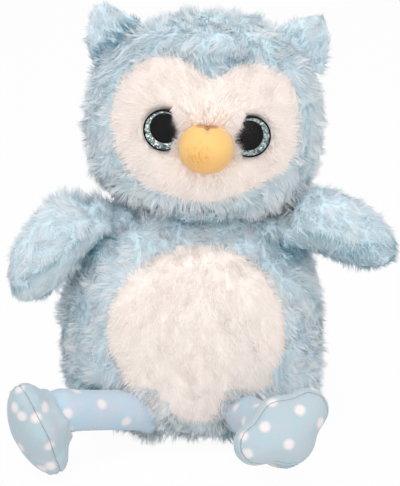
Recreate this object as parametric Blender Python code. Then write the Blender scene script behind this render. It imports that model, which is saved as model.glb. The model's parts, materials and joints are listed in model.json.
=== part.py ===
"""A seated plush owl as an assembly of sewn covers, stuffings, eyes and jointed limbs.

Metres, +Z up. The owl faces -Y, the flat of its seat lies on z = 0 and the torso's axis is x = 0.
"""
import math

import bmesh
import bpy
import numpy as np
from mathutils import Matrix, Vector

# Fits
GAP = 0.0003  # between pieces that touch
BALL_CLEARANCE = 0.0007  # round a limb's ball in its seat, less at the seat's flats
SEAT_CUT = 0.0005  # how deep the seat is cut flat
FOOT_CLEARANCE = 0.0004  # from the lowest point of a foot to the floor

# Fabrics
PLUSH_THICKNESS = 0.008  # long pile with its backing
VELBOA_THICKNESS = 0.0018  # short pile with its backing
EAR_THICKNESS = 0.012

# Torso
TORSO_WIDTH = 0.150
TORSO_DEPTH = 0.122
TORSO_GIRTH_HEIGHT = 0.047  # where the torso is widest
TORSO_HEIGHT = 0.138
BELLY_WIDTH = 0.093
BELLY_HEIGHT = 0.094
BELLY_CENTRE_HEIGHT = 0.066
BELLY_SIDE_SHIFT = 0.0025

# Head, about the neck joint
NECK_HEIGHT = 0.150
NECK_SIDE_SHIFT = 0.005
NECK_FORWARD_SHIFT = 0.0015
NECK_BALL_RADIUS = 0.047
NECK_PLUG_RADIUS = 0.020
NECK_PLUG_DEPTH = 0.014
NECK_CLEARANCE = 0.0030  # between the head's underside and the shoulders
NECK_SEAT_CLEARANCE = 0.0006  # round the ball under the head
HEAD_WIDTH = 0.132
HEAD_DEPTH = 0.110
HEAD_GIRTH_RISE = 0.022  # the widest level, above the neck joint
HEAD_TOP_RISE = 0.081
HEAD_BOTTOM_DROP = 0.028

# Face
MASK_WIDTH = 0.099
MASK_TOP_RISE = 0.057
MASK_PEAK_RISE = 0.0465
MASK_BOTTOM_DROP = 0.015
EYE_RADIUS = 0.0103
EYE_SPACING = 0.0426
EYE_SIDE_SHIFT = 0.0020
EYE_RISE = 0.0240
EYE_PLATE_THICKNESS = 0.0018
EYE_DOME_HEIGHT = 0.0040
EYE_PUPIL_RADIUS = 0.0070
EYE_FOIL_THICKNESS = 0.0006
EYE_RIM = 0.0008  # black edge outside the foil
EYE_STEM_RADIUS = 0.0022
EYE_STEM_LENGTH = 0.013
EYE_BACKING = 0.0022  # fabric left behind the eye
WASHER_RADIUS = 0.0080
WASHER_THICKNESS = 0.0014
BEAK_WIDTH = 0.0278
BEAK_HEIGHT = 0.0256
BEAK_LENGTH = 0.0270
BEAK_RISE = 0.0175
BEAK_SIDE_SHIFT = 0.0010
BEAK_SEAT = 0.0020  # how far the beak's middle stands out from the face

# Ears
EAR_WIDTH = 0.038
EAR_HEIGHT = 0.024
EAR_SPACING = 0.0955
EAR_RISE = 0.060
EAR_ROOT_RADIUS = 0.0065
EAR_ROOT_LENGTH = 0.0365

# Wings
SHOULDER_SPACING = 0.103
SHOULDER_SIDE_SHIFT = 0.0015
SHOULDER_FORWARD = 0.020
SHOULDER_HEIGHT = 0.117
SHOULDER_SLANT = 0.003  # how much higher the left shoulder is than the middle, under the tilted head
SHOULDER_RADIUS = 0.0098
WING_LENGTH = 0.0600  # from the shoulder to the tip
WING_HEIGHT = 0.0405
WING_DEPTH = 0.033
WING_RISE = 0.009  # how far the wing's middle bows up
SHOULDER_PLUG_RADIUS = 0.005
SHOULDER_PLUG_DEPTH = 0.005

# Legs and feet
HIP_SPACING = 0.048
HIP_FORWARD = 0.044
HIP_HEIGHT = 0.021
HIP_RADIUS = 0.012
LEG_RADIUS = 0.0102
LEG_LENGTH = 0.054  # from the hip to the ankle
ANKLE_RADIUS = 0.0115
ANKLE_STANDOFF = 0.003  # ankle joint to the instep
HIP_PLUG_RADIUS = 0.006
HIP_PLUG_DEPTH = 0.006
FOOT_THICKNESS = 0.026
HEEL_RADIUS = 0.0154
TOE_RADIUS = 0.0112
TOE_REACH = 0.0112  # foot's middle to the middle toe's centre
TOE_SPREAD = 0.0172  # foot's middle to a side toe's centre, across

# Proportions and attitudes
HEAD_ROLL = 3.0  # degrees, the head's tilt to its left
EYE_TURN = 12.0
EAR_LEAN = 32.0
TORSO_UPPER_POWER = 2.4
TORSO_LOWER_POWER = 4.0
HEAD_UPPER_POWER = 2.2
HEAD_LOWER_POWER = 3.6
PLAN_POWER = 2.2
SIDE_TOE_SHARE = 0.55  # a side toe's reach of the middle toe's
FOOT_EDGE_POWER = 2.6
EAR_FLAP_SHARE = 0.75  # the flap's thickness of the ear's
EAR_WIDTH_POWER = 1.5
EAR_THICKNESS_POWER = 3.0
WING_SWELL_SHARE = 0.24  # of its length, where a wing is fully swollen
WING_ROUND_SHARE = 0.35  # of its length, where a wing starts to round off
WING_ROUND_POWERS = (2.6, 2.2)
WING_BOW_POWER = 0.5
WING_MOUTH_SHARE = 0.45  # of the wing's length that the torso makes room for
LEG_FLARE = 14.0  # degrees, how far a limb's opening widens
WING_FLARE = 33.0

# Each limb's heading about the vertical (0 points to +X) and its slope; a foot adds its own roll.
# A leg lies at its slope or higher, where its foot clears the floor.
LIMBS = {
    "left": {"side": -1, "wing": (200, -38), "leg": (215, -10), "foot": (206, -20, -88)},
    "right": {"side": 1, "wing": (-20, -6), "leg": (-69, 8), "foot": (-76, 17, 27)},
}

COLOURS = {
    "blue_plush": ((0.47, 0.61, 0.68), 0.95),
    "white_plush": ((0.86, 0.79, 0.75), 0.95),
    "dotted_velboa": ((0.46, 0.58, 0.68), 0.85),
    "yellow_velboa": ((0.93, 0.60, 0.22), 0.85),
    "stuffing": ((0.90, 0.90, 0.88), 1.0),
    "black_plastic": ((0.010, 0.009, 0.009), 0.12),
    "glitter_foil": ((0.22, 0.26, 0.27), 0.30),
    "smoked_lens": ((0.03, 0.03, 0.03), 0.05),
    "white_plastic": ((0.75, 0.75, 0.73), 0.45),
}

AROUND = 24  # points round a large form
ALONG = 9  # rings on a large form
INSIDE_AROUND = 18
INSIDE_ALONG = 7
BALL_AROUND = 16
EYE_AROUND = 20
NECK_PLUG_AROUND = 22
BALL_ALONG = 8
NECK_ALONG = 16
WING_AROUND = 14
FOOT_AROUND = 20
LEG_AROUND = 12
FILLING_AROUND = 10  # on a limb's stuffing
EAR_AROUND = 12


def clear_scene():
    for leftover in list(bpy.data.objects):
        bpy.data.objects.remove(leftover, do_unlink=True)


def material(kind):
    found = bpy.data.materials.get(kind)
    if found:
        return found
    colour, roughness = COLOURS[kind]
    made = bpy.data.materials.new(kind)
    made.use_nodes = True
    shader = made.node_tree.nodes["Principled BSDF"]
    shader.inputs["Base Color"].default_value = (*colour, 1)
    shader.inputs["Roughness"].default_value = roughness
    shader.inputs["Metallic"].default_value = 0
    return made


# Placing


def turned(heading, slope=0.0, roll=0.0):
    """Local +X points along the heading, raised by the slope, and the frame is rolled about it."""
    return (
        Matrix.Rotation(math.radians(heading), 4, "Z")
        @ Matrix.Rotation(math.radians(-slope), 4, "Y")
        @ Matrix.Rotation(math.radians(roll), 4, "X")
    )


def frame(name, place, turn=None, parent=None):
    """An empty at a joint, which carries the pieces that move about it."""
    empty = bpy.data.objects.new(name, None)
    bpy.context.collection.objects.link(empty)
    empty.parent = parent
    empty.matrix_local = Matrix.Translation(place) @ (turn or Matrix.Identity(4))
    return empty


def stood(mesh, parent, local):
    """An object with its mesh's name, at a place in its parent's frame."""
    made = bpy.data.objects.new(mesh.name, mesh)
    bpy.context.collection.objects.link(made)
    made.parent = parent
    made.matrix_local = local or Matrix.Identity(4)
    return made


def piece(mesh, kind, parent=None, local=None):
    """A sub-part in its own material."""
    mesh.materials.append(material(kind))
    return stood(mesh, parent, local)


def tool(mesh, parent=None, local=None):
    """A shape that only cuts or joins others."""
    made = stood(mesh, parent, local)
    made.hide_render = True
    made.display_type = "WIRE"
    return made


def boolean(body, operation, tools):
    for other in tools:
        step = body.modifiers.new(f"{operation.lower()} {other.name}", "BOOLEAN")
        step.operation = operation
        step.solver = "EXACT"
        step.object = other
    return body


def cut(body, *tools):
    return boolean(body, "DIFFERENCE", tools)


def keep(body, *tools):
    return boolean(body, "INTERSECT", tools)


def join(body, *tools):
    return boolean(body, "UNION", tools)


# Meshes


def skinned(name, rings):
    """Closes a stack of rings of equal count; a ring of one point is a pole."""
    shape = bmesh.new()
    rows = [[shape.verts.new(point) for point in ring] for ring in rings]
    for low, high in zip(rows, rows[1:]):
        count = max(len(low), len(high))
        for i in range(count):
            j = (i + 1) % count
            if len(low) == 1:
                shape.faces.new((low[0], high[j], high[i]))
            elif len(high) == 1:
                shape.faces.new((low[i], low[j], high[0]))
            else:
                shape.faces.new((low[i], low[j], high[j], high[i]))
    for row in (rows[0], rows[-1]):
        if len(row) > 1:
            shape.faces.new(row)
    bmesh.ops.recalc_face_normals(shape, faces=shape.faces)
    mesh = bpy.data.meshes.new(name)
    shape.to_mesh(mesh)
    shape.free()
    mesh.shade_smooth()
    return mesh


def power_round(angle, power):
    """The cosine and sine of a superellipse, the boxier the higher its power."""
    cosine, sine = math.cos(angle), math.sin(angle)
    return (
        math.copysign(abs(cosine) ** (2 / power), cosine),
        math.copysign(abs(sine) ** (2 / power), sine),
    )


def plan_ring(half_x, half_y, z, centre=(0, 0), power=PLAN_POWER, count=AROUND):
    ring = []
    for i in range(count):
        across, along = power_round(2 * math.pi * i / count, power)
        ring.append((centre[0] + half_x * across, centre[1] + half_y * along, z))
    return ring


def swelling(
    name, half_x, half_y, bottom, middle, top, powers, count=AROUND, rows=ALONG, plan=PLAN_POWER
):
    """A stuffed form: widest at the middle level, with its own boxiness below and above."""
    rings = [[(0, 0, bottom)]]
    for row in range(1, rows):
        angle = math.pi * (row / rows - 0.5)
        below = angle < 0
        out, up = power_round(angle, powers[0] if below else powers[1])
        level = middle + up * ((middle - bottom) if below else (top - middle))
        rings.append(plan_ring(half_x * out, half_y * out, level, power=plan, count=count))
    rings.append([(0, 0, top)])
    return skinned(name, rings)


def ball(name, radius, count=BALL_AROUND, rows=BALL_ALONG):
    return swelling_ball(name, radius, radius, radius, count, rows)


def swelling_ball(name, half_x, half_y, half_z, count=BALL_AROUND, rows=BALL_ALONG):
    rings = [[(0, 0, -half_z)]]
    for row in range(1, rows):
        out, up = power_round(math.pi * (row / rows - 0.5), 2)
        rings.append(plan_ring(half_x * out, half_y * out, half_z * up, power=2, count=count))
    rings.append([(0, 0, half_z)])
    return skinned(name, rings)


def turned_solid(name, profile, count=BALL_AROUND):
    """Turned about local Z from (radius, height) pairs, bottom to top."""
    rings = []
    for radius, height in profile:
        if radius:
            rings.append(plan_ring(radius, radius, height, power=2, count=count))
        else:
            rings.append([(0, 0, height)])
    return skinned(name, rings)


def prism(name, outline, near, far):
    """An outline in XZ drawn along Y."""
    return skinned(name, [[(x, y, z) for x, z in outline] for y in (near, far)])


def slab(name, half, low, high):
    """A box of equal half sides between two levels of local Z."""
    square = [(-half, -half), (half, -half), (half, half), (-half, half)]
    return skinned(name, [[(x, y, z) for x, y in square] for z in (low, high)])


def along_x():
    """Stands a shape turned about Z on local X."""
    return Matrix.Rotation(math.radians(90), 4, "Y")


# Torso


def torso_form(name, inset):
    return swelling(
        name,
        TORSO_WIDTH / 2 - inset,
        TORSO_DEPTH / 2 - inset,
        inset - SEAT_CUT,
        TORSO_GIRTH_HEIGHT,
        TORSO_HEIGHT - inset,
        (TORSO_LOWER_POWER, TORSO_UPPER_POWER),
        rows=INSIDE_ALONG if inset > 0 else ALONG,
        count=INSIDE_AROUND if inset > 0 else AROUND,
    )


def belly_outline(extra):
    points = []
    for i in range(AROUND):
        angle = 2 * math.pi * i / AROUND
        x = (BELLY_WIDTH / 2 + extra) * math.cos(angle)
        z = (BELLY_HEIGHT / 2 + extra) * math.sin(angle)
        points.append((BELLY_SIDE_SHIFT + x, BELLY_CENTRE_HEIGHT + z))
    return points


# Head, in the neck joint's frame


def head_form(name, inset):
    return swelling(
        name,
        HEAD_WIDTH / 2 - inset,
        HEAD_DEPTH / 2 - inset,
        inset - HEAD_BOTTOM_DROP,
        HEAD_GIRTH_RISE,
        HEAD_TOP_RISE - inset,
        (HEAD_LOWER_POWER, HEAD_UPPER_POWER),
        rows=INSIDE_ALONG if inset > 0 else ALONG,
        count=INSIDE_AROUND if inset > 0 else AROUND,
    )


def head_sweep(name):
    """The room that the turning head needs: its profile, round in plan, widened by the clearance."""
    half = HEAD_WIDTH / 2 + NECK_CLEARANCE
    return swelling(
        name,
        half,
        half,
        -HEAD_BOTTOM_DROP - NECK_CLEARANCE,
        HEAD_GIRTH_RISE,
        HEAD_TOP_RISE + NECK_CLEARANCE,
        (HEAD_LOWER_POWER, HEAD_UPPER_POWER),
        plan=2,
    )


def head_front(x, z, inset):
    """Y of the head's front face, inset by a thickness, at a place on the face."""
    above = z > HEAD_GIRTH_RISE
    room = HEAD_TOP_RISE - HEAD_GIRTH_RISE if above else HEAD_GIRTH_RISE + HEAD_BOTTOM_DROP
    reach = room - inset
    power = HEAD_UPPER_POWER if above else HEAD_LOWER_POWER
    level = (1 - (abs(z - HEAD_GIRTH_RISE) / reach) ** power) ** (1 / power)
    across = abs(x) / ((HEAD_WIDTH / 2 - inset) * level)
    return -(HEAD_DEPTH / 2 - inset) * level * (1 - across**PLAN_POWER) ** (1 / PLAN_POWER)


# The mask's outline from its peak down one side: shares of its half width and of its height
MASK_SHARES = (
    (0.00, None),
    (0.24, 0.90),
    (0.56, 1.00),
    (0.85, 0.90),
    (0.99, 0.62),
    (0.98, 0.38),
    (0.80, 0.16),
    (0.45, 0.04),
    (0.00, 0.00),
)


def mask_outline(extra):
    """A closed curve through the mask's points, mirrored, widened by a margin."""
    height = MASK_TOP_RISE + MASK_BOTTOM_DROP
    half = []
    for across_share, rise_share in MASK_SHARES:
        rise = MASK_PEAK_RISE if rise_share is None else height * rise_share - MASK_BOTTOM_DROP
        half.append((across_share * MASK_WIDTH / 2, rise))
    points = half + [(-x, z) for x, z in reversed(half[1:-1])]
    smooth = []
    for i in range(len(points)):
        before, start, end, after = (np.array(points[(i + k) % len(points)]) for k in (-1, 0, 1, 2))
        for t in (0, 1 / 2):
            bend = (
                (2 * start)
                + (end - before) * t
                + (2 * before - 5 * start + 4 * end - after) * t**2
                + (3 * start - before - 3 * end + after) * t**3
            )
            smooth.append(bend / 2)
    centre = np.array((0, (MASK_TOP_RISE - MASK_BOTTOM_DROP) / 2))
    widened = []
    for point in smooth:
        out = point - centre
        widened.append(tuple(point + out / np.linalg.norm(out) * extra))
    return widened


def eye_frame(name, side, head):
    """Local +Z looks out of the eye, and z = 0 is the floor of its recess in the face."""
    x = EYE_SIDE_SHIFT + side * EYE_SPACING / 2
    surface = head_front(x, EYE_RISE, PLUSH_THICKNESS - EYE_BACKING)
    aside = Matrix.Rotation(math.radians(side * EYE_TURN), 4, "Z")
    forward = Matrix.Rotation(math.radians(90), 4, "X")
    return frame(name, (x, surface, EYE_RISE), aside @ forward, head)


def make_eye(side_name, side, head):
    """Plate with its stem, foil ring, lens and washer, and the cutter that seats them."""
    eye = eye_frame(f"eye_{side_name}_axis", side, head)
    foil_level = GAP + EYE_PLATE_THICKNESS
    lens_level = foil_level + GAP + EYE_FOIL_THICKNESS + GAP
    plate = turned_solid(
        f"eye_plate_{side_name}",
        (
            (0, -EYE_STEM_LENGTH),
            (EYE_STEM_RADIUS, -EYE_STEM_LENGTH),
            (EYE_STEM_RADIUS, GAP),
            (EYE_RADIUS, GAP),
            (EYE_RADIUS, foil_level),
            (EYE_PUPIL_RADIUS - GAP, foil_level),
            (EYE_PUPIL_RADIUS - GAP, lens_level - GAP),
            (0, lens_level - GAP),
        ),
        EYE_AROUND,
    )
    piece(plate, "black_plastic", eye)
    foil = turned_solid(
        f"eye_foil_{side_name}",
        (
            (EYE_RADIUS - EYE_RIM, foil_level + GAP),
            (EYE_RADIUS - EYE_RIM, foil_level + GAP + EYE_FOIL_THICKNESS),
        ),
        EYE_AROUND,
    )
    foil_hole = turned_solid(
        f"eye_foil_hole_{side_name}",
        ((EYE_PUPIL_RADIUS, 0), (EYE_PUPIL_RADIUS, lens_level + EYE_DOME_HEIGHT)),
        EYE_AROUND,
    )
    cut(piece(foil, "glitter_foil", eye), tool(foil_hole, eye))
    dome = [(0, lens_level), (EYE_RADIUS, lens_level)]
    rows = 4
    for row in range(rows):
        angle = math.pi / 2 * row / rows
        rise = EYE_RIM + (EYE_DOME_HEIGHT - EYE_RIM) * math.sin(angle)
        dome.append((EYE_RADIUS * math.cos(angle), lens_level + rise))
    dome.append((0, lens_level + EYE_DOME_HEIGHT))
    piece(turned_solid(f"eye_lens_{side_name}", dome, EYE_AROUND), "smoked_lens", eye)
    washer_top = -EYE_BACKING - GAP - GAP
    washer = turned_solid(
        f"eye_washer_{side_name}",
        ((WASHER_RADIUS, washer_top - WASHER_THICKNESS), (WASHER_RADIUS, washer_top)),
    )
    washer_hole = turned_solid(
        f"eye_washer_hole_{side_name}",
        (
            (EYE_STEM_RADIUS + GAP, washer_top - WASHER_THICKNESS - WASHER_THICKNESS),
            (EYE_STEM_RADIUS + GAP, washer_top + WASHER_THICKNESS),
        ),
    )
    cut(piece(washer, "white_plastic", eye), tool(washer_hole, eye))
    recess = turned_solid(
        f"eye_recess_{side_name}",
        (
            (0, -EYE_STEM_LENGTH - GAP),
            (EYE_STEM_RADIUS + GAP, -EYE_STEM_LENGTH - GAP),
            (EYE_STEM_RADIUS + GAP, 0),
            (EYE_RADIUS + GAP, 0),
            (EYE_RADIUS + GAP, PLUSH_THICKNESS + EYE_DOME_HEIGHT),
            (0, PLUSH_THICKNESS + EYE_DOME_HEIGHT),
        ),
        EYE_AROUND,
    )
    pocket = turned_solid(
        f"eye_pocket_{side_name}",
        (
            (WASHER_RADIUS + GAP, washer_top - WASHER_THICKNESS - GAP),
            (WASHER_RADIUS + GAP, washer_top + GAP),
        ),
    )
    return tool(recess, eye), tool(pocket, eye)


def beak_form(name, inset):
    return swelling_ball(
        name,
        BEAK_WIDTH / 2 - inset,
        BEAK_LENGTH / 2 - inset,
        BEAK_HEIGHT / 2 - inset,
        count=FILLING_AROUND if inset > 0 else BALL_AROUND,
        rows=BALL_ALONG,
    )


def make_beak(head, eye_cutters):
    across = BEAK_SIDE_SHIFT
    middle = Matrix.Translation((across, head_front(across, BEAK_RISE, 0) - BEAK_SEAT, BEAK_RISE))
    seat = tool(head_form("beak_seat_cutter", -GAP), head)
    hollow = tool(beak_form("beak_hollow_cutter", VELBOA_THICKNESS), head, middle)
    cut(piece(beak_form("beak_cover", 0), "yellow_velboa", head, middle), hollow, seat, *eye_cutters)
    cut(piece(beak_form("beak_stuffing", VELBOA_THICKNESS + GAP), "stuffing", head, middle), seat)


# Ears, each about a straight root that lies along local X, with its height along local Z


def ear_form(name, margin, slack):
    """A rounded flap on a spindle; the slack widens the flap alone, for its slot."""
    thickness = EAR_THICKNESS / 2 * EAR_FLAP_SHARE + margin + slack
    rings = []
    rows = 5
    for row in range(rows):
        share = row / rows
        width = (EAR_WIDTH / 2 + margin) * (1 - share**EAR_WIDTH_POWER) ** (1 / EAR_WIDTH_POWER)
        depth = thickness * (1 - share**EAR_THICKNESS_POWER) ** (1 / EAR_THICKNESS_POWER)
        rings.append(plan_ring(width, depth, (EAR_HEIGHT + margin) * share, count=EAR_AROUND))
    rings.append([(0, 0, EAR_HEIGHT + margin)])
    return skinned(name, rings)


def ear_root(name, margin):
    radius = EAR_ROOT_RADIUS + margin
    half = EAR_ROOT_LENGTH / 2 + margin
    return swelling_ball(name, half, radius, radius, count=EAR_AROUND)


def make_ear(side_name, side, head):
    """Two sewn panels that bend about their root, and the cutter that seats them."""
    place = (side * EAR_SPACING / 2, 0, EAR_RISE)
    lean = Matrix.Rotation(math.radians(side * EAR_LEAN), 4, "Y")
    ear = frame(f"ear_{side_name}_joint", place, lean, head)
    reach = EAR_WIDTH + EAR_HEIGHT
    behind = Matrix.Rotation(math.radians(-90), 4, "X")
    for half, turn in (("front", behind.inverted()), ("back", behind)):
        name = f"ear_{half}_{side_name}"
        panel = piece(ear_form(name, 0, 0), "blue_plush", ear)
        root = tool(ear_root(f"{name}_root", 0), ear)
        side_cut = tool(slab(f"{name}_side", reach, GAP / 2, reach), ear, turn)
        keep(join(panel, root), side_cut)
    slot = tool(ear_form(f"ear_slot_{side_name}", GAP, EAR_ROOT_RADIUS / 3), ear)
    groove = tool(ear_root(f"ear_groove_{side_name}", BALL_CLEARANCE), ear)
    return join(groove, slot)


# Wings, along local X from the shoulder joint


def wing_form(name, inset, count=WING_AROUND):
    """A ball at the shoulder that swells into a rounded paddle."""
    rings = [[(-(SHOULDER_RADIUS - inset), 0, 0)]]
    for angle in (-66, -45, -22):
        across = (SHOULDER_RADIUS - inset) * math.cos(math.radians(angle))
        x = (SHOULDER_RADIUS - inset) * math.sin(math.radians(angle))
        rings.append([(x, y, z) for y, z, _ in plan_ring(across, across, 0, power=2, count=count)])
    rows = 8
    for row in range(rows):
        share = math.sin(math.pi / 2 * row / rows)
        swell = math.sin(math.pi / 2 * min(1, share / WING_SWELL_SHARE)) ** 2
        ended = max(0, (share - WING_ROUND_SHARE) / (1 - WING_ROUND_SHARE))
        close = (1 - ended ** WING_ROUND_POWERS[0]) ** (1 / WING_ROUND_POWERS[1])
        half_y = (SHOULDER_RADIUS + (WING_DEPTH / 2 - SHOULDER_RADIUS) * swell) * close - inset * close
        half_z = (SHOULDER_RADIUS + (WING_HEIGHT / 2 - SHOULDER_RADIUS) * swell) * close - inset * close
        bow = WING_RISE * math.sin(math.pi * share**WING_BOW_POWER)
        x = (WING_LENGTH - inset) * share
        rings.append([(x, y, z + bow) for y, z, _ in plan_ring(half_y, half_z, 0, count=count)])
    rings.append([(WING_LENGTH - inset, 0, 0)])
    return skinned(name, rings)


def make_wing(side_name, limb):
    side = limb["side"]
    across = SHOULDER_SIDE_SHIFT + side * SHOULDER_SPACING / 2
    place = Vector((across, -SHOULDER_FORWARD, SHOULDER_HEIGHT - side * SHOULDER_SLANT))
    wing = frame(f"wing_{side_name}_joint", place, turned(*limb["wing"]))
    reach = WING_LENGTH + WING_LENGTH
    cover_inset = PLUSH_THICKNESS / 2
    hollow = tool(wing_form(f"wing_hollow_{side_name}", cover_inset, count=FILLING_AROUND), wing)
    for half, low, high in (("upper", GAP / 2, reach), ("under", -reach, -GAP / 2)):
        name = f"wing_{half}_{side_name}"
        panel = piece(wing_form(name, 0), "blue_plush", wing)
        keep(cut(panel, hollow), tool(slab(f"{name}_side", reach, low, high), wing))
    piece(wing_form(f"wing_stuffing_{side_name}", cover_inset + GAP, count=FILLING_AROUND), "stuffing", wing)
    return wing, place


# Legs, along local X from the hip joint, and feet, whose soles face local +X with the toes to local +Z


def foot_radius(angle):
    """The foot's outline from its middle: a round heel and three round toes."""
    rounds = [(0, 0, HEEL_RADIUS), (0, TOE_REACH, TOE_RADIUS)]
    for side in (-1, 1):
        rounds.append((side * TOE_SPREAD, TOE_REACH * SIDE_TOE_SHARE, TOE_RADIUS))
    look = (math.sin(angle), math.cos(angle))
    reach = 0
    for x, z, radius in rounds:
        ahead = x * look[0] + z * look[1]
        aside = x * look[1] - z * look[0]
        if abs(aside) < radius and ahead > -radius:
            reach = max(reach, ahead + math.sqrt(radius**2 - aside**2))
    return reach


def foot_form(name, inset):
    rings = [[(-(FOOT_THICKNESS / 2 - inset), 0, 0)]]
    rows = 5
    for row in range(1, rows):
        out, up = power_round(math.pi * (row / rows - 0.5), FOOT_EDGE_POWER)
        ring = []
        for i in range(FOOT_AROUND):
            angle = 2 * math.pi * i / FOOT_AROUND
            radius = (foot_radius(angle) - inset) * out
            level = (FOOT_THICKNESS / 2 - inset) * up
            ring.append((level, radius * math.sin(angle), radius * math.cos(angle)))
        rings.append(ring)
    rings.append([(FOOT_THICKNESS / 2 - inset, 0, 0)])
    return skinned(name, rings)


def leg_form(name, inset, count=LEG_AROUND):
    """A hip ball, a tube that widens to the ankle and the ankle's round end."""
    rings = [[(-(HIP_RADIUS - inset), 0, 0)]]
    hip, tube, ankle = HIP_RADIUS - inset, LEG_RADIUS - inset, ANKLE_RADIUS - inset
    profile = []
    for angle in (-60, -30, 0):
        profile.append((hip * math.sin(math.radians(angle)), hip * math.cos(math.radians(angle))))
    exit_x = math.sqrt(hip**2 - tube**2)
    profile.append((exit_x, tube))
    profile.append(((exit_x + LEG_LENGTH) / 2, (tube + ankle) / 2))
    for angle in (0, 30, 60):
        profile.append(
            (LEG_LENGTH + ankle * math.sin(math.radians(angle)), ankle * math.cos(math.radians(angle)))
        )
    for x, radius in profile:
        around = plan_ring(radius, radius, 0, power=2, count=count)
        rings.append([(x, y, z) for y, z, _ in around])
    rings.append([(LEG_LENGTH + ANKLE_RADIUS - inset, 0, 0)])
    return skinned(name, rings)


def leg_slope(limb):
    """The leg's own slope, or the steeper one at which the foot's lowest point just clears the floor."""
    foot_turn = turned(*limb["foot"]).to_3x3()
    lowest = 0
    rows = 8
    for row in range(1, rows):
        out, up = power_round(math.pi * (row / rows - 0.5), FOOT_EDGE_POWER)
        for i in range(48):
            angle = 2 * math.pi * i / 48
            radius = foot_radius(angle) * out
            spot = Vector((FOOT_THICKNESS / 2 * up, radius * math.sin(angle), radius * math.cos(angle)))
            lowest = min(lowest, (foot_turn @ spot).z)
    middle = foot_turn @ Vector((FOOT_THICKNESS / 2 + ANKLE_STANDOFF, 0, 0))
    ankle_height = FOOT_CLEARANCE - lowest - middle.z
    return max(limb["leg"][1], math.degrees(math.asin((ankle_height - HIP_HEIGHT) / LEG_LENGTH)))


def make_leg(side_name, limb):
    place = Vector((limb["side"] * HIP_SPACING / 2, -HIP_FORWARD, HIP_HEIGHT))
    leg_turn = turned(limb["leg"][0], leg_slope(limb))
    leg = frame(f"leg_{side_name}_joint", place, leg_turn)
    hollow = tool(leg_form(f"leg_hollow_{side_name}", VELBOA_THICKNESS, count=FILLING_AROUND), leg)
    mouth = turned_solid(
        f"leg_mouth_{side_name}",
        (
            (HIP_PLUG_RADIUS, -HIP_RADIUS - GAP),
            (HIP_PLUG_RADIUS, GAP - HIP_RADIUS + VELBOA_THICKNESS + GAP),
        ),
    )
    cover = piece(leg_form(f"leg_cover_{side_name}", 0), "dotted_velboa", leg)
    cut(cover, hollow, tool(mouth, leg, along_x()))
    filling_inset = VELBOA_THICKNESS + GAP
    piece(leg_form(f"leg_stuffing_{side_name}", filling_inset, count=FILLING_AROUND), "stuffing", leg)
    make_foot(side_name, limb, leg_turn @ Vector((LEG_LENGTH, 0, 0)) + place)
    return leg, place


def make_foot(side_name, limb, ankle):
    joint = frame(f"foot_{side_name}_joint", ankle, turned(*limb["foot"]))
    middle = Matrix.Translation((ANKLE_STANDOFF + FOOT_THICKNESS / 2, 0, 0))
    reach = FOOT_THICKNESS + TOE_SPREAD + TOE_RADIUS + HEEL_RADIUS
    socket = tool(ball(f"ankle_socket_{side_name}", ANKLE_RADIUS + BALL_CLEARANCE), joint)
    hollow = tool(foot_form(f"foot_hollow_{side_name}", VELBOA_THICKNESS), joint, middle)
    for half, low, high in (("instep", -reach, -GAP / 2), ("sole", GAP / 2, reach)):
        name = f"foot_{half}_{side_name}"
        panel = piece(foot_form(name, 0), "dotted_velboa", joint, middle)
        side_cut = tool(slab(f"{name}_side", reach, low, high), joint, middle @ along_x())
        keep(cut(panel, hollow, socket), side_cut)
    filling = foot_form(f"foot_stuffing_{side_name}", VELBOA_THICKNESS + GAP)
    cut(piece(filling, "stuffing", joint, middle), socket)


# Sockets and plugs at the torso


def limb_socket(name, joint, place, radius, tube_radius, length, flare):
    """A ball's seat and the widening mouth that the limb swings in."""
    seat = tool(ball(f"{name}_seat", radius + BALL_CLEARANCE), None, Matrix.Translation(place))
    widening = length * math.tan(math.radians(flare))
    mouth = turned_solid(f"{name}_mouth", ((tube_radius, 0), (tube_radius + widening, length)))
    return join(seat, tool(mouth, joint, along_x()))


def make_plug(name, place, side, radius, depth, ball_radius):
    """Stuffing behind a limb's ball, which turns about the line across the torso."""
    inward = Matrix.Translation(place) @ Matrix.Rotation(math.radians(-side * 90), 4, "Y")
    length = ball_radius + depth
    plug = piece(turned_solid(name, ((radius, 0), (radius, length))), "stuffing", None, inward)
    cut(plug, tool(ball(f"{name}_seat", ball_radius + BALL_CLEARANCE), None, Matrix.Translation(place)))
    bore = turned_solid(f"{name}_bore", ((radius + GAP, 0), (radius + GAP, length + GAP)))
    return tool(bore, None, inward)


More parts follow.
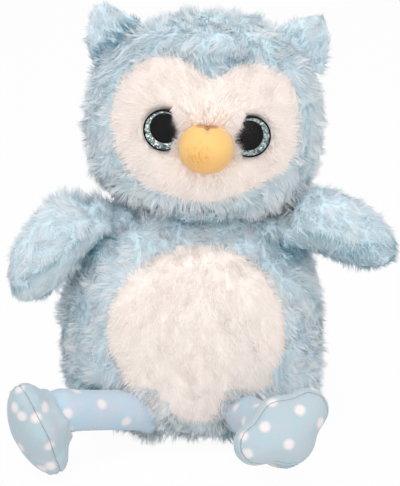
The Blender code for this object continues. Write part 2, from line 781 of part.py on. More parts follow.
def make_head(neck_place):
    head = frame("head_joint", neck_place, Matrix.Rotation(math.radians(HEAD_ROLL), 4, "Y"))
    reach = HEAD_DEPTH
    eye_cutters = []
    pockets = []
    slots = []
    for side_name, limb in LIMBS.items():
        recess, pocket = make_eye(side_name, limb["side"], head)
        eye_cutters.append(recess)
        pockets.append(pocket)
        slots.append(make_ear(side_name, limb["side"], head))
    make_beak(head, eye_cutters)

    hollow = tool(head_form("head_hollow", PLUSH_THICKNESS), head)
    lower = tool(ball("head_lower", NECK_BALL_RADIUS, AROUND, NECK_ALONG), head)
    lower_hollow = tool(ball("head_lower_hollow", NECK_BALL_RADIUS - PLUSH_THICKNESS, INSIDE_AROUND), head)
    neck_end = -NECK_BALL_RADIUS - GAP
    neck_hole = tool(turned_solid("neck_hole", ((NECK_PLUG_RADIUS, neck_end), (NECK_PLUG_RADIUS, 0))), head)
    mask_hole = tool(prism("mask_hole", mask_outline(GAP / 2), -reach, 0), head)
    mask_shape = tool(prism("mask_shape", mask_outline(-GAP / 2), -reach, 0), head)

    cover = piece(head_form("head_cover", 0), "blue_plush", head)
    cut(join(cover, lower), hollow, lower_hollow, mask_hole, neck_hole, *slots)

    face = piece(head_form("face_panel", 0), "white_plush", head)
    cut(keep(cut(face, hollow, lower_hollow), mask_shape), *eye_cutters, *pockets)

    inner_radius = NECK_BALL_RADIUS - PLUSH_THICKNESS - GAP
    inner_ball = tool(ball("head_filling_ball", inner_radius, INSIDE_AROUND), head)
    column_radius = NECK_PLUG_RADIUS - GAP
    column = tool(turned_solid("neck_column", ((column_radius, neck_end), (column_radius, 0))), head)
    filling = piece(head_form("head_stuffing", PLUSH_THICKNESS + GAP), "stuffing", head)
    join(filling, inner_ball, keep(column, lower))
    cut(filling, *eye_cutters, *pockets, *slots)
    return head


def make_neck_plug(neck_place):
    """Stuffing in the torso's neck, dished under the head, which turns about the vertical."""
    bottom = -NECK_BALL_RADIUS - NECK_PLUG_DEPTH
    here = Matrix.Translation(neck_place)
    profile = ((NECK_PLUG_RADIUS, bottom), (NECK_PLUG_RADIUS, 0))
    plug = piece(turned_solid("neck_plug", profile, NECK_PLUG_AROUND), "stuffing", None, here)
    dish = tool(ball("neck_dish", NECK_BALL_RADIUS + NECK_SEAT_CLEARANCE, AROUND, NECK_ALONG), None, here)
    cut(plug, dish)
    bore_profile = ((NECK_PLUG_RADIUS + GAP, bottom - GAP), (NECK_PLUG_RADIUS + GAP, 0))
    return dish, tool(turned_solid("neck_bore", bore_profile, NECK_PLUG_AROUND), None, here)


def make_torso(cover_cutters, filling_cutters):
    reach = TORSO_WIDTH
    floor = tool(slab("seat_cutter", reach, -reach, 0))
    hollow = tool(torso_form("torso_hollow", PLUSH_THICKNESS))
    belly_hole = tool(prism("belly_hole", belly_outline(GAP / 2), -reach, 0))
    belly_shape = tool(prism("belly_shape", belly_outline(-GAP / 2), -reach, 0))
    cover = piece(torso_form("torso_cover", 0), "blue_plush")
    cut(cover, hollow, floor, belly_hole, *cover_cutters)
    belly = piece(torso_form("belly_panel", 0), "white_plush")
    cut(keep(cut(belly, hollow), belly_shape), *cover_cutters)
    filling = piece(torso_form("torso_stuffing", PLUSH_THICKNESS + GAP), "stuffing")
    cut(filling, *cover_cutters, *filling_cutters)


def main():
    clear_scene()
    neck_place = Vector((NECK_SIDE_SHIFT, -NECK_FORWARD_SHIFT, NECK_HEIGHT))
    dish, neck_bore = make_neck_plug(neck_place)
    head = make_head(neck_place)
    cover_cutters = [join(tool(head_sweep("neck_clearance"), head), dish)]
    wing_tube = SHOULDER_RADIUS + BALL_CLEARANCE
    wing_mouth = WING_LENGTH * WING_MOUTH_SHARE
    for side_name, limb in LIMBS.items():
        side = limb["side"]
        wing, shoulder = make_wing(side_name, limb)
        leg, hip = make_leg(side_name, limb)
        wing_seat = (SHOULDER_RADIUS, wing_tube, wing_mouth, WING_FLARE)
        leg_seat = (HIP_RADIUS, LEG_RADIUS, LEG_LENGTH, LEG_FLARE)
        shoulder_plug = (SHOULDER_PLUG_RADIUS, SHOULDER_PLUG_DEPTH, SHOULDER_RADIUS)
        hip_plug = (HIP_PLUG_RADIUS, HIP_PLUG_DEPTH, HIP_RADIUS)
        cover_cutters += (
            limb_socket(f"wing_{side_name}", wing, shoulder, *wing_seat),
            limb_socket(f"leg_{side_name}", leg, hip, *leg_seat),
            make_plug(f"shoulder_plug_{side_name}", shoulder, side, *shoulder_plug),
            make_plug(f"hip_plug_{side_name}", hip, side, *hip_plug),
        )
    make_torso(cover_cutters, [neck_bore])


main()
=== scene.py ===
# %% [markdown]
# # A seated plush owl
# The owl is a stuffed toy, about 23 cm tall. Its body, head, ears and wings are long-pile plush, its
# legs and feet are short-pile velboa with printed dots, its beak is yellow velboa, and its eyes are
# plastic with a ring of glitter foil under a clear dome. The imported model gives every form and
# joint, and it stays as it is. This script dresses it: each soft form gets a cloth backing that is
# modelled finer than the solid, and thousands of tapered strands stand on that backing as the pile.

# %% Load the frame
import json
import math

import bmesh
import bpy
import numpy as np
from mathutils import Matrix, Vector
from mathutils.bvhtree import BVHTree
from mathutils.kdtree import KDTree

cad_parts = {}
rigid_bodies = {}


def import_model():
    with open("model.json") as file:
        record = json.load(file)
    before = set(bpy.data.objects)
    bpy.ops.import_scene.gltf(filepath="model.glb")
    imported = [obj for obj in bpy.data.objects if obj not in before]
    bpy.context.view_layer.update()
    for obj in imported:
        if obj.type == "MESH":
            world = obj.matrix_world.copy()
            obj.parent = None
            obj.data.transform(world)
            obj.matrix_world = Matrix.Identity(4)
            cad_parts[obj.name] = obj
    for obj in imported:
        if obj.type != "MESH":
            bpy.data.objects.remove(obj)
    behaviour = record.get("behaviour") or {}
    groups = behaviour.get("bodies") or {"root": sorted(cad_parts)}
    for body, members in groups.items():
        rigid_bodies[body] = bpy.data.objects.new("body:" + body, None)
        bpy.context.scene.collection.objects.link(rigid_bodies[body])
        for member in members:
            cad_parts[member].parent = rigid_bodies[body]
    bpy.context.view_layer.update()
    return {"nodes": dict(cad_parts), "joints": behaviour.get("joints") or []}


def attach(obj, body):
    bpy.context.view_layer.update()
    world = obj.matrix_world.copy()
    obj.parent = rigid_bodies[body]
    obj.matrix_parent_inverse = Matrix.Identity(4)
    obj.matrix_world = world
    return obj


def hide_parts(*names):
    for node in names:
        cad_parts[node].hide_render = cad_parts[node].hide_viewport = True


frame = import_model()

bpy.ops.object.select_all(action="DESELECT")

# %% [markdown]
# ## Where things are
# Every soft form is measured from its joint. The head's own frame sits at the neck joint and leans
# a little to the owl's left, and each limb's frame points its local X along the limb. These are the
# same places and turns that the solids have, so nothing here needs fitting by eye.

# %% Frames of the head and limbs
MM = 0.001


def turned(heading, slope=0.0, roll=0.0):
    return (
        Matrix.Rotation(math.radians(heading), 4, "Z")
        @ Matrix.Rotation(math.radians(-slope), 4, "Y")
        @ Matrix.Rotation(math.radians(roll), 4, "X")
    )


JOINT_PLACE = {joint["name"]: Vector(joint["pos_m"]) for joint in frame["joints"]}
HEAD = Matrix.Translation(JOINT_PLACE["head_turn"]) @ Matrix.Rotation(math.radians(3), 4, "Y")
# Per side, the ear and wing amounts set how much painted shade the pile gets at the base of the ear and
# under the wing.
SIDES = {
    "left": {"side": -1, "wing": (200, -38), "foot": (206, -20, -88), "seam": 0.0,
             "ear_crease_shade": 0.9, "wing_length": 62.5 * MM, "wing_shade": 0.1},
    "right": {"side": 1, "wing": (-20, -6), "foot": (-76, 17, 27), "seam": 5.0 * MM,
              "ear_crease_shade": 0.15, "wing_length": 58.5 * MM, "wing_shade": 0.4},
}
for name, limb in SIDES.items():
    limb["shoulder"] = Matrix.Translation(JOINT_PLACE[f"wing_{name}_swing"]) @ turned(*limb["wing"])
    limb["ankle"] = Matrix.Translation(JOINT_PLACE[f"foot_{name}_flex"]) @ turned(*limb["foot"])
    limb["hip"] = JOINT_PLACE[f"leg_{name}_lift"]
    print(name, "shoulder", tuple(round(c, 4) for c in limb["shoulder"].translation))
    print(name, "ankle", tuple(round(c, 4) for c in limb["ankle"].translation))

# %% [markdown]
# ## The room
# The photograph shows the toy on plain white, taken from a little above. So the camera stands in
# front, tilted down 16 degrees, and far enough away that the owl's proportions stay natural. The
# floor is a plain pale sheet. It is drawn nearly white to the camera, in gloss and through glass,
# but it still shows the shadow under the toy. The lamps are large and soft, at a level where a
# colour renders as it is written.

# %% Shader values that Python's operators work on


class Value:
    """One output of a shader node. Adding or comparing two of them adds the Math node that does it."""

    def __init__(self, tree, socket):
        self.tree = tree
        self.socket = socket

    def math(self, operation, *others):
        node = self.tree.nodes.new("ShaderNodeMath")
        node.operation = operation
        for socket, value in zip(node.inputs, (self, *others)):
            feed(self.tree, socket, value)
        return Value(self.tree, node.outputs[0])

    def __add__(self, other):
        return self.math("ADD", other)

    def __sub__(self, other):
        return self.math("SUBTRACT", other)

    def __rsub__(self, other):
        return (self * -1).math("ADD", other)

    def __mul__(self, other):
        return self.math("MULTIPLY", other)

    def __gt__(self, other):
        return self.math("GREATER_THAN", other)

    def __lt__(self, other):
        return self.math("LESS_THAN", other)

    __radd__ = __add__
    __rmul__ = __mul__


def feed(tree, socket, value):
    """Links a value to a socket, or sets the socket to a plain number or colour."""
    if isinstance(value, Value):
        tree.links.new(value.socket, socket)
    elif isinstance(value, tuple) and len(value) == 3 and socket.type == "RGBA":
        socket.default_value = (*value, 1)
    else:
        socket.default_value = value


class Finish:
    """A material as it is built: node() adds any node, by its type, settings and inputs."""

    def __init__(self, name):
        self.material = bpy.data.materials.new(name)
        self.material.use_nodes = True
        self.tree = self.material.node_tree
        self.tree.nodes.clear()

    def node(self, kind, inputs=None, output=0, stops=None, **settings):
        node = self.tree.nodes.new("ShaderNode" + kind)
        for name, value in settings.items():
            setattr(node, name, value)
        if stops:
            ramp = node.color_ramp.elements
            while len(ramp) < len(stops):
                ramp.new(0.5)
            for element, (place, colour) in zip(ramp, stops):
                element.position = place
                element.color = (*colour, 1)
        for name, value in (inputs or {}).items():
            feed(self.tree, node.inputs[name], value)
        return Value(self.tree, node.outputs[output])

    def mix(self, share, first, second, blend="MIX"):
        """Colour mixed by a share."""
        node = self.tree.nodes.new("ShaderNodeMix")
        node.data_type = "RGBA"
        node.blend_type = blend
        for place, value in ((0, share), (6, first), (7, second)):
            feed(self.tree, node.inputs[place], value)
        return Value(self.tree, node.outputs[2])

    def place(self, centre=(0, 0, 0), turn=(0, 0, 0), scale=(1, 1, 1)):
        """Object coordinates in metres, centred and turned."""
        raw = self.node("TexCoord", output="Object")
        inputs = {"Vector": raw, "Location": centre, "Rotation": turn, "Scale": scale}
        return self.node("Mapping", inputs, vector_type="TEXTURE")

    def noise(self, scale, detail=2.0, roughness=0.5, output=0):
        inputs = {"Vector": self.place(), "Scale": scale, "Detail": detail, "Roughness": roughness}
        return self.node("TexNoise", inputs, output)

    def bump(self, height, distance, strength=1.0):
        return self.node("Bump", {"Height": height, "Distance": distance, "Strength": strength})

    def surface(self, **inputs):
        """Ends in a Principled shader whose sockets are named with underscores for spaces."""
        named = {name.replace("_", " "): value for name, value in inputs.items()}
        shader = self.node("BsdfPrincipled", named)
        self.finish(shader)
        return self.material

    def finish(self, shader):
        end = self.tree.nodes.new("ShaderNodeOutputMaterial")
        self.tree.links.new(shader.socket, end.inputs["Surface"])
        return self.material


print("shader helpers ready")

# %% Camera at the photograph's angle
TARGET = Vector((0.0039, 0, 0.1015))
CAMERA_DISTANCE = 0.85
CAMERA_ELEVATION = math.radians(16)
PIXEL = 0.00055  # metres across one pixel of the picture at the target
PICTURE = (400, 486)

lens = bpy.data.cameras.new("camera")
camera = bpy.data.objects.new("camera", lens)
bpy.context.scene.collection.objects.link(camera)
look_back = Vector((0, -math.cos(CAMERA_ELEVATION), math.sin(CAMERA_ELEVATION)))
camera.location = TARGET + look_back * CAMERA_DISTANCE
camera.rotation_euler = (-look_back).to_track_quat("-Z", "Y").to_euler()
lens.sensor_fit = "VERTICAL"
lens.sensor_height = 24
lens.sensor_width = 24
lens.lens = lens.sensor_height * CAMERA_DISTANCE / (PICTURE[1] * PIXEL)
lens.clip_start = 0.01
bpy.context.scene.camera = camera
bpy.context.scene.view_settings.view_transform = "Standard"
print("lens:", round(lens.lens, 1), "mm")

# %% Floor, sky and lamps
FLOOR_SIZE = 6.0
FLOOR_GLOW = 0.96  # how much of the floor is drawn plain white, and the rest keeps the shadow
SKY_LIGHT = 0.62


def background_rays(tree):
    """1 on a ray that shows the background: from the camera, off a gloss, or through glass."""
    path = tree.nodes.new("ShaderNodeLightPath")
    kinds = ("Is Camera Ray", "Is Glossy Ray", "Is Transmission Ray")
    straight, glossy, through = (Value(tree, path.outputs[kind]) for kind in kinds)
    return straight.math("MAXIMUM", glossy).math("MAXIMUM", through)


bpy.ops.mesh.primitive_plane_add(size=FLOOR_SIZE)
floor = bpy.context.object
floor.name = "floor"
floor_finish = Finish("pale_floor")
seen = background_rays(floor_finish.tree)
paper = floor_finish.node("BsdfDiffuse", {"Color": (0.88, 0.88, 0.88)})
glow = floor_finish.node("Emission", {"Color": (1, 1, 1), "Strength": 1.0})
floor.data.materials.append(
    floor_finish.finish(floor_finish.node("MixShader", {"Fac": seen * FLOOR_GLOW, 1: paper, 2: glow}))
)

world = bpy.data.worlds.new("soft_room")
bpy.context.scene.world = world
world.use_nodes = True
room = world.node_tree
room.nodes.clear()
dim = room.nodes.new("ShaderNodeBackground")
bright = room.nodes.new("ShaderNodeBackground")
both = room.nodes.new("ShaderNodeMixShader")
end = room.nodes.new("ShaderNodeOutputWorld")
dim.inputs["Strength"].default_value = SKY_LIGHT
bright.inputs["Strength"].default_value = 1.0
for shade in (dim, bright):
    shade.inputs["Color"].default_value = (1, 1, 1, 1)
room.links.new(background_rays(room).socket, both.inputs["Fac"])
room.links.new(dim.outputs[0], both.inputs[1])
room.links.new(bright.outputs[0], both.inputs[2])
room.links.new(both.outputs[0], end.inputs["Surface"])


def soft_lamp(name, place, size, watts):
    light = bpy.data.lights.new(name, "AREA")
    light.size = size
    light.energy = watts
    lamp = bpy.data.objects.new(name, light)
    bpy.context.scene.collection.objects.link(lamp)
    lamp.location = place
    lamp.rotation_euler = (TARGET - Vector(place)).to_track_quat("-Z", "Y").to_euler()
    return lamp


soft_lamp("overhead", (-0.15, -0.45, 1.25), 1.0, 7.0)
soft_lamp("front", (0.25, -1.20, 0.45), 0.9, 4.2)
print("floor, sky and lamps ready")

# %% [markdown]
# ## Stuffed forms
# A plush form is a ball of cloth that the stuffing swells, flatter where it is sewn or sat on. Each
# starts as a UV sphere. Its points are then moved onto a boxier round, whose powers say how full
# the form is below and above its widest level. This is the same rule as the solids follow, so the
# backing lies where the solid is. The backing lies deeper than the solid's face by most of the
# pile's height, because the solid's face is where the tips of the pile end.

# %% Sizes of the body and head
TORSO = {"half": (0.075, 0.061), "levels": (-0.0005, 0.047, 0.138), "powers": (4.0, 2.4)}
HEAD_FORM = {"half": (0.066, 0.055), "levels": (-0.028, 0.022, 0.081), "powers": (3.6, 2.2)}
PLAN_POWER = 2.2
PILE_DEPTH = 3.8 * MM  # how far the backing lies inside the face of the solid


def power_round(cosine, power):
    return np.sign(cosine) * np.abs(cosine) ** (2 / power)


def deselect():
    if bpy.context.object and bpy.context.object.mode != "OBJECT":
        bpy.ops.object.mode_set(mode="OBJECT")
    bpy.ops.object.select_all(action="DESELECT")


def points_of(mesh):
    flat = np.empty(len(mesh.vertices) * 3)
    mesh.vertices.foreach_get("co", flat)
    return flat.reshape(-1, 3)


def put_points(mesh, points):
    mesh.vertices.foreach_set("co", np.ascontiguousarray(points, np.float32).ravel())
    mesh.update()


def moved(points, matrix):
    turn = np.array(matrix)
    return points @ turn[:3, :3].T + turn[:3, 3]


def local(points, matrix):
    return moved(points, matrix.inverted())


def settled(piece):
    """Puts a mesh in a fixed order. A new sphere's faces come in an order that changes from run to
    run, and the strands are scattered over the faces in turn."""
    old = piece.data
    points = points_of(old)
    order = np.lexsort(points.T)
    new_number = np.argsort(order)
    faces = []
    for face in old.polygons:
        corners = [int(new_number[corner]) for corner in face.vertices]
        first = corners.index(min(corners))
        faces.append(corners[first:] + corners[:first])
    piece.data = bpy.data.meshes.new(piece.name)
    piece.data.from_pydata(points[order].tolist(), [], sorted(faces))
    piece.data.update()
    bpy.data.meshes.remove(old)


def ball_of_cloth(name, radius, around, rows, place):
    """A small ball on which a pile grows."""
    deselect()
    bpy.ops.mesh.primitive_uv_sphere_add(segments=around, ring_count=rows, radius=radius)
    ball = bpy.context.object
    ball.name = name
    ball.data.transform(place)
    settled(ball)
    return ball


def stuffed(name, form, inset, place, around=96, rows=64):
    """A UV sphere whose points are moved onto a stuffed form, inset from the solid's face."""
    deselect()
    bpy.ops.mesh.primitive_uv_sphere_add(segments=around, ring_count=rows, radius=1)
    ball = bpy.context.object
    ball.name = name
    unit = points_of(ball.data)
    angle = np.arctan2(unit[:, 1], unit[:, 0])
    flat = np.hypot(unit[:, 0], unit[:, 1])
    below = unit[:, 2] < 0
    power = np.where(below, *form["powers"])
    out = power_round(flat, power)
    rise = power_round(unit[:, 2], power)
    bottom, middle, top = form["levels"]
    reach = np.where(below, middle - bottom, top - middle) - inset
    shaped = np.column_stack(
        (
            (form["half"][0] - inset) * out * power_round(np.cos(angle), PLAN_POWER),
            (form["half"][1] - inset) * out * power_round(np.sin(angle), PLAN_POWER),
            middle + reach * rise,
        )
    )
    put_points(ball.data, moved(shaped, place))
    settled(ball)
    return ball


def depth_in(points, form, place, inset=0.0):
    """Below 1 where a point lies inside the form, and above 1 outside."""
    p = local(points, place)
    bottom, middle, top = form["levels"]
    below = p[:, 2] < middle
    power = np.where(below, *form["powers"])
    reach = np.where(below, middle - bottom, top - middle) - inset
    across = np.abs(p[:, 0] / (form["half"][0] - inset)) ** PLAN_POWER
    along = np.abs(p[:, 1] / (form["half"][1] - inset)) ** PLAN_POWER
    flat = (across + along) ** (1 / PLAN_POWER)
    return (flat**power + np.abs((p[:, 2] - middle) / reach) ** power) ** (1 / power)


# %% Smooth noise for lumps, swirls and colour


def lattice_value(cells, seed):
    """A fixed random number from -1 to 1 for each whole-number cell."""
    mixed = cells[:, 0] * 73856093 ^ cells[:, 1] * 19349663 ^ cells[:, 2] * 83492791 ^ seed * 2654435761
    mixed = (mixed ^ (mixed >> 13)) * 1274126177
    return ((mixed ^ (mixed >> 16)) & 0xFFFF) / 32767.5 - 1


def smooth_noise(points, scale, seed):
    """Noise from -1 to 1 that changes smoothly over the scale, in metres."""
    at = points / scale + 1000.0
    cell = np.floor(at).astype(np.int64)
    share = at - cell
    share = share * share * (3 - 2 * share)
    total = np.zeros(len(points))
    for corner in range(8):
        step = np.array([corner & 1, corner >> 1 & 1, corner >> 2 & 1])
        weight = np.prod(np.where(step, share, 1 - share), axis=1)
        total += weight * lattice_value(cell + step, seed)
    return total


def swirl(points, scale, seed):
    return np.column_stack([smooth_noise(points, scale, seed + k) for k in (11, 37, 71)])


def unit_rows(rows):
    return rows / np.maximum(np.linalg.norm(rows, axis=1, keepdims=True), 1e-12)


def normals_of(mesh):
    flat = np.empty(len(mesh.vertices) * 3, np.float32)
    mesh.vertex_normals.foreach_get("vector", flat)
    return flat.reshape(-1, 3).astype(float)


def lumps(piece, height, scale, seed):
    """The stuffing's own unevenness."""
    points = points_of(piece.data)
    rise = smooth_noise(points, scale, seed) + 0.5 * smooth_noise(points, scale / 2, seed + 5)
    put_points(piece.data, points + normals_of(piece.data) * (height * rise)[:, None])


print("form and noise helpers ready")

# %% [markdown]
# ## The body and head
# On the real toy the cloth of the body runs up under the head, and the head is sewn on in a deep
# crease. Here the body's backing is dished under the head, the same way that its solid is, with a
# Boolean against a slightly larger copy of the head. A ball of cloth under the head closes the
# crease. The cloth also sinks in a fold over the left hip, and stands up in a roll over the brow.

# %% Body and head backings
WORLD = Matrix.Identity(4)
torso_skin = stuffed("torso_backing", TORSO, PILE_DEPTH, WORLD)
lumps(torso_skin, 1.3 * MM, 34 * MM, 3)
head_skin = stuffed("head_backing", HEAD_FORM, PILE_DEPTH, HEAD, 168, 112)
lumps(head_skin, 1.2 * MM, 30 * MM, 8)


def subtract(piece, cutter):
    """A Boolean difference that is applied, after which the cutter goes."""
    step = piece.modifiers.new("cut", "BOOLEAN")
    step.operation = "DIFFERENCE"
    step.solver = "EXACT"
    step.object = cutter
    deselect()
    piece.select_set(True)
    bpy.context.view_layer.objects.active = piece
    bpy.ops.object.modifier_apply(modifier=step.name)
    bpy.data.objects.remove(cutter, do_unlink=True)
    settled(piece)


NECK_ROOM = {"half": (0.069, 0.069), "levels": (-0.031, 0.022, 0.084), "powers": (3.6, 2.2)}
subtract(torso_skin, stuffed("neck_room", NECK_ROOM, PILE_DEPTH, HEAD, 64, 40))
print("torso backing:", len(torso_skin.data.polygons), "faces")

NECK_BALL = 47 * MM
neck_skin = ball_of_cloth("neck_backing", NECK_BALL - PILE_DEPTH, 64, 48, HEAD)
lumps(neck_skin, 0.6 * MM, 20 * MM, 12)


def eased(values, start, stop):
    """Rises smoothly from 0 at start to 1 at stop."""
    share = np.clip((values - start) / (stop - start), 0, 1)
    return share * share * (3 - 2 * share)


def sag_of(points):
    """The fold above the left hip, where the body's cloth sinks into itself: 1 in its line."""
    across = eased(-points[:, 0], 38 * MM, 50 * MM) * (points[:, 1] < 10 * MM)
    return across * np.exp(-(((points[:, 2] - 31 * MM) / (3.0 * MM)) ** 2))


def pressed(piece, amount):
    """Moves the points of a backing in by an amount each."""
    put_points(piece.data, points_of(piece.data) - normals_of(piece.data) * amount[:, None])


pressed(torso_skin, 3.0 * MM * sag_of(points_of(torso_skin.data)))
own = local(points_of(head_skin.data), HEAD)
across = np.exp(-(((own[:, 0] - 4 * MM) / (19 * MM)) ** 2)) * (own[:, 1] < 0)
brow = across * eased(own[:, 2], 60.5 * MM, 63.5 * MM) * (1 - eased(own[:, 2], 67 * MM, 75 * MM))
pressed(head_skin, -4.5 * MM * brow)

# %% [markdown]
# ## Wings
# A wing is a bent paddle of plush, sewn into the shoulder. It is lofted from rings along its own
# axis: it swells fast from the shoulder, bows upward, and closes in a round tip.

# %% Wing backings
WING_ROOT = 14 * MM  # the cloth round the shoulder is fuller than the ball inside it
WING_HALF = (16.5 * MM, 20.2 * MM)  # front to back, and up
WING_RISE = 9 * MM
WING_DEPTH = 2.6 * MM  # how far the backing lies inside the face of the solid
WING_AROUND = 48
WING_ROWS = 40


def lofted(name, rings, place):
    """Bridges rings of equal count and closes both ends with a point."""
    shape = bmesh.new()
    rows = [[shape.verts.new(point) for point in ring] for ring in rings]
    for low, high in zip(rows, rows[1:]):
        count = max(len(low), len(high))
        for i in range(count):
            j = (i + 1) % count
            if len(low) == 1:
                shape.faces.new((low[0], high[j], high[i]))
            elif len(high) == 1:
                shape.faces.new((low[i], low[j], high[0]))
            else:
                shape.faces.new((low[i], low[j], high[j], high[i]))
    bmesh.ops.recalc_face_normals(shape, faces=shape.faces)
    mesh = bpy.data.meshes.new(name)
    shape.to_mesh(mesh)
    shape.free()
    mesh.transform(place)
    piece = bpy.data.objects.new(name, mesh)
    bpy.context.scene.collection.objects.link(piece)
    return piece


def wing_section(share):
    """Half depth, half height and bow of the wing at a share of its length."""
    swell = math.sin(math.pi / 2 * min(1, (share + 0.08) / 0.26)) ** 2
    ended = max(0, (share - 0.35) / 0.65)
    close = max(0, 1 - ended**2.6) ** (1 / 2.2)
    depth = (WING_ROOT + (WING_HALF[0] - WING_ROOT) * swell) * close
    height = (WING_ROOT + (WING_HALF[1] - WING_ROOT) * swell) * close
    return depth, height, WING_RISE * math.sin(math.pi * share**0.5)


def wing_backing(name, place, length):
    start = WING_ROOT - WING_DEPTH
    rings = [[(-start, 0, 0)]]
    for angle in (-70, -50, -30, -12):
        x = start * math.sin(math.radians(angle))
        across = start * math.cos(math.radians(angle))
        ring = []
        for i in range(WING_AROUND):
            turn = 2 * math.pi * i / WING_AROUND
            ring.append((x, across * math.cos(turn), across * math.sin(turn)))
        rings.append(ring)
    for row in range(WING_ROWS):
        share = math.sin(math.pi / 2 * row / WING_ROWS)
        depth, height, bow = wing_section(share)
        narrow = 1 - WING_DEPTH / WING_HALF[0]
        ring = []
        for i in range(WING_AROUND):
            turn = 2 * math.pi * i / WING_AROUND
            ring.append(
                (
                    (length - WING_DEPTH) * share,
                    depth * narrow * math.cos(turn),
                    bow + height * narrow * math.sin(turn),
                )
            )
        rings.append(ring)
    rings.append([(length - WING_DEPTH, 0, 0)])
    return lofted(name, rings, place)


for name, limb in SIDES.items():
    limb["wing_skin"] = wing_backing(f"wing_backing_{name}", limb["shoulder"], limb["wing_length"])
    lumps(limb["wing_skin"], 0.8 * MM, 18 * MM, 21)
    print(name, "wing:", len(limb["wing_skin"].data.polygons), "faces")

# %% Ear backings
EAR_HALF = (19 * MM, 4.5 * MM)
EAR_HEIGHT = 24 * MM
EAR_ROOT = 6.5 * MM
EAR_DEPTH = 2.2 * MM
EAR_PLACE = {side: (side * 47.75 * MM, 0, 60 * MM) for side in (-1, 1)}


def ear_backing(name, place):
    """A rounded flap that stands on the head, drawn from rings along its height."""
    rings = [[(0, 0, -EAR_ROOT)]]
    for row in range(30):
        share = row / 29.5
        across = (EAR_HALF[0] - EAR_DEPTH) * (1 - share**1.5) ** (1 / 1.5)
        along = (EAR_HALF[1] - EAR_DEPTH + 2 * MM * (1 - share)) * (1 - share**3) ** (1 / 3)
        ring = []
        for i in range(40):
            turn = 2 * math.pi * i / 40
            x = across * power_round(math.cos(turn), 2.2)
            y = along * power_round(math.sin(turn), 2.2)
            ring.append((float(x), float(y), -3 * MM + (EAR_HEIGHT + 1 * MM) * share))
        rings.append(ring)
    rings.append([(0, 0, EAR_HEIGHT - EAR_DEPTH)])
    return lofted(name, rings, place)


for name, limb in SIDES.items():
    side = limb["side"]
    lean = Matrix.Rotation(math.radians(side * 32), 4, "Y")
    limb["ear"] = HEAD @ Matrix.Translation(EAR_PLACE[side]) @ lean
    limb["ear_skin"] = ear_backing(f"ear_backing_{name}", limb["ear"])
print("ears ready")

# %% [markdown]
# ## Legs and feet
# A leg is a tube of velboa that the stuffing rounds, and a foot is a mitten of two panels, an
# instep and a sole, sewn together round the edge. Rings drawn round the foot give the form. It is
# then remeshed evenly, and Blender's Cloth swells it from inside while the seam and the valleys
# between the toes are held. So the panels puff up on both sides of the seam, as they do on the
# real toy. The pieces are small, so the cloth is light and the pressure high.

# %% Sizes of the legs and feet
HIP_RADIUS, LEG_RADIUS, ANKLE_RADIUS = 12 * MM, 10.2 * MM, 11.5 * MM
FOOT_THICKNESS = 26 * MM
FOOT_MIDDLE = 16 * MM  # from the ankle to the seam
FOOT_EDGE_POWER = 2.0
FOOT_ROUNDS = (  # across, towards the toes, radius
    (0, 0, 15.4 * MM),
    (0, 11.2 * MM, 11.2 * MM),
    (17.2 * MM, 6.2 * MM, 11.2 * MM),
    (-17.2 * MM, 6.2 * MM, 11.2 * MM),
)
TOE_SOFTNESS = 13  # degrees round the foot over which its edge is evened out
SWELL_ROOM = 0.6 * MM  # the foot starts this much slimmer, and swells back
for name, limb in SIDES.items():
    along = limb["ankle"].translation - limb["hip"]
    limb["leg"] = Matrix.Translation(limb["hip"]) @ along.to_track_quat("X", "Z").to_matrix().to_4x4()
    limb["leg_length"] = along.length
    print(name, "leg:", round(along.length / MM, 1), "mm")

# %% Feet


def foot_outline(angle):
    """How far the foot's edge is from its middle: a round heel and three toes, blended softly."""
    total = np.zeros_like(angle)
    for across, ahead, radius in FOOT_ROUNDS:
        forward = across * np.sin(angle) + ahead * np.cos(angle)
        aside = across * np.cos(angle) - ahead * np.sin(angle)
        inside = np.maximum(radius**2 - aside**2, 0)
        reach = np.maximum(forward + np.sqrt(inside), 0) * (inside > 0)
        total += reach**7
    edge = 0.97 * total ** (1 / 7)
    steps = np.arange(len(angle))
    apart = np.minimum(steps, len(angle) - steps) * 360 / len(angle)
    weights = np.exp(-((apart / TOE_SOFTNESS) ** 2))
    even = np.real(np.fft.ifft(np.fft.fft(edge) * np.fft.fft(weights / weights.sum())))
    return np.maximum(even * 1.02, edge)


def apply_step(piece, kind, **settings):
    """Adds a modifier, sets it and applies it."""
    deselect()
    piece.select_set(True)
    bpy.context.view_layer.objects.active = piece
    step = piece.modifiers.new(kind.lower(), kind)
    for name, value in settings.items():
        setattr(step, name, value)
    bpy.ops.object.modifier_apply(modifier=step.name)
    return piece


def swollen(piece, pressure, cap, held):
    """Swells an evenly meshed piece by Cloth, with the held points pinned."""
    deselect()
    piece.select_set(True)
    bpy.context.view_layer.objects.active = piece
    start = points_of(piece.data)
    pins = piece.vertex_groups.new(name="held")
    pins.add([int(i) for i in np.flatnonzero(held(start))], 1.0, "REPLACE")
    cloth = piece.modifiers.new("swell", "CLOTH")
    cloth.settings.mass = 0.02
    cloth.settings.tension_stiffness = cloth.settings.compression_stiffness = 4
    cloth.settings.use_pressure = True
    cloth.settings.uniform_pressure_force = pressure
    cloth.settings.vertex_group_mass = pins.name
    cloth.settings.effector_weights.gravity = 0
    for frame_number in range(1, 21):
        bpy.context.scene.frame_set(frame_number)
    bpy.ops.object.modifier_apply(modifier=cloth.name)
    bpy.context.scene.frame_set(1)
    piece.vertex_groups.clear()
    move = points_of(piece.data) - start
    far = np.linalg.norm(move, axis=1, keepdims=True)
    print(piece.name, "swells", np.round(np.percentile(far, (50, 90, 100)) / MM, 2), "mm")
    put_points(piece.data, start + move * np.minimum(1, cap / np.maximum(far, 1e-9)))
    return piece


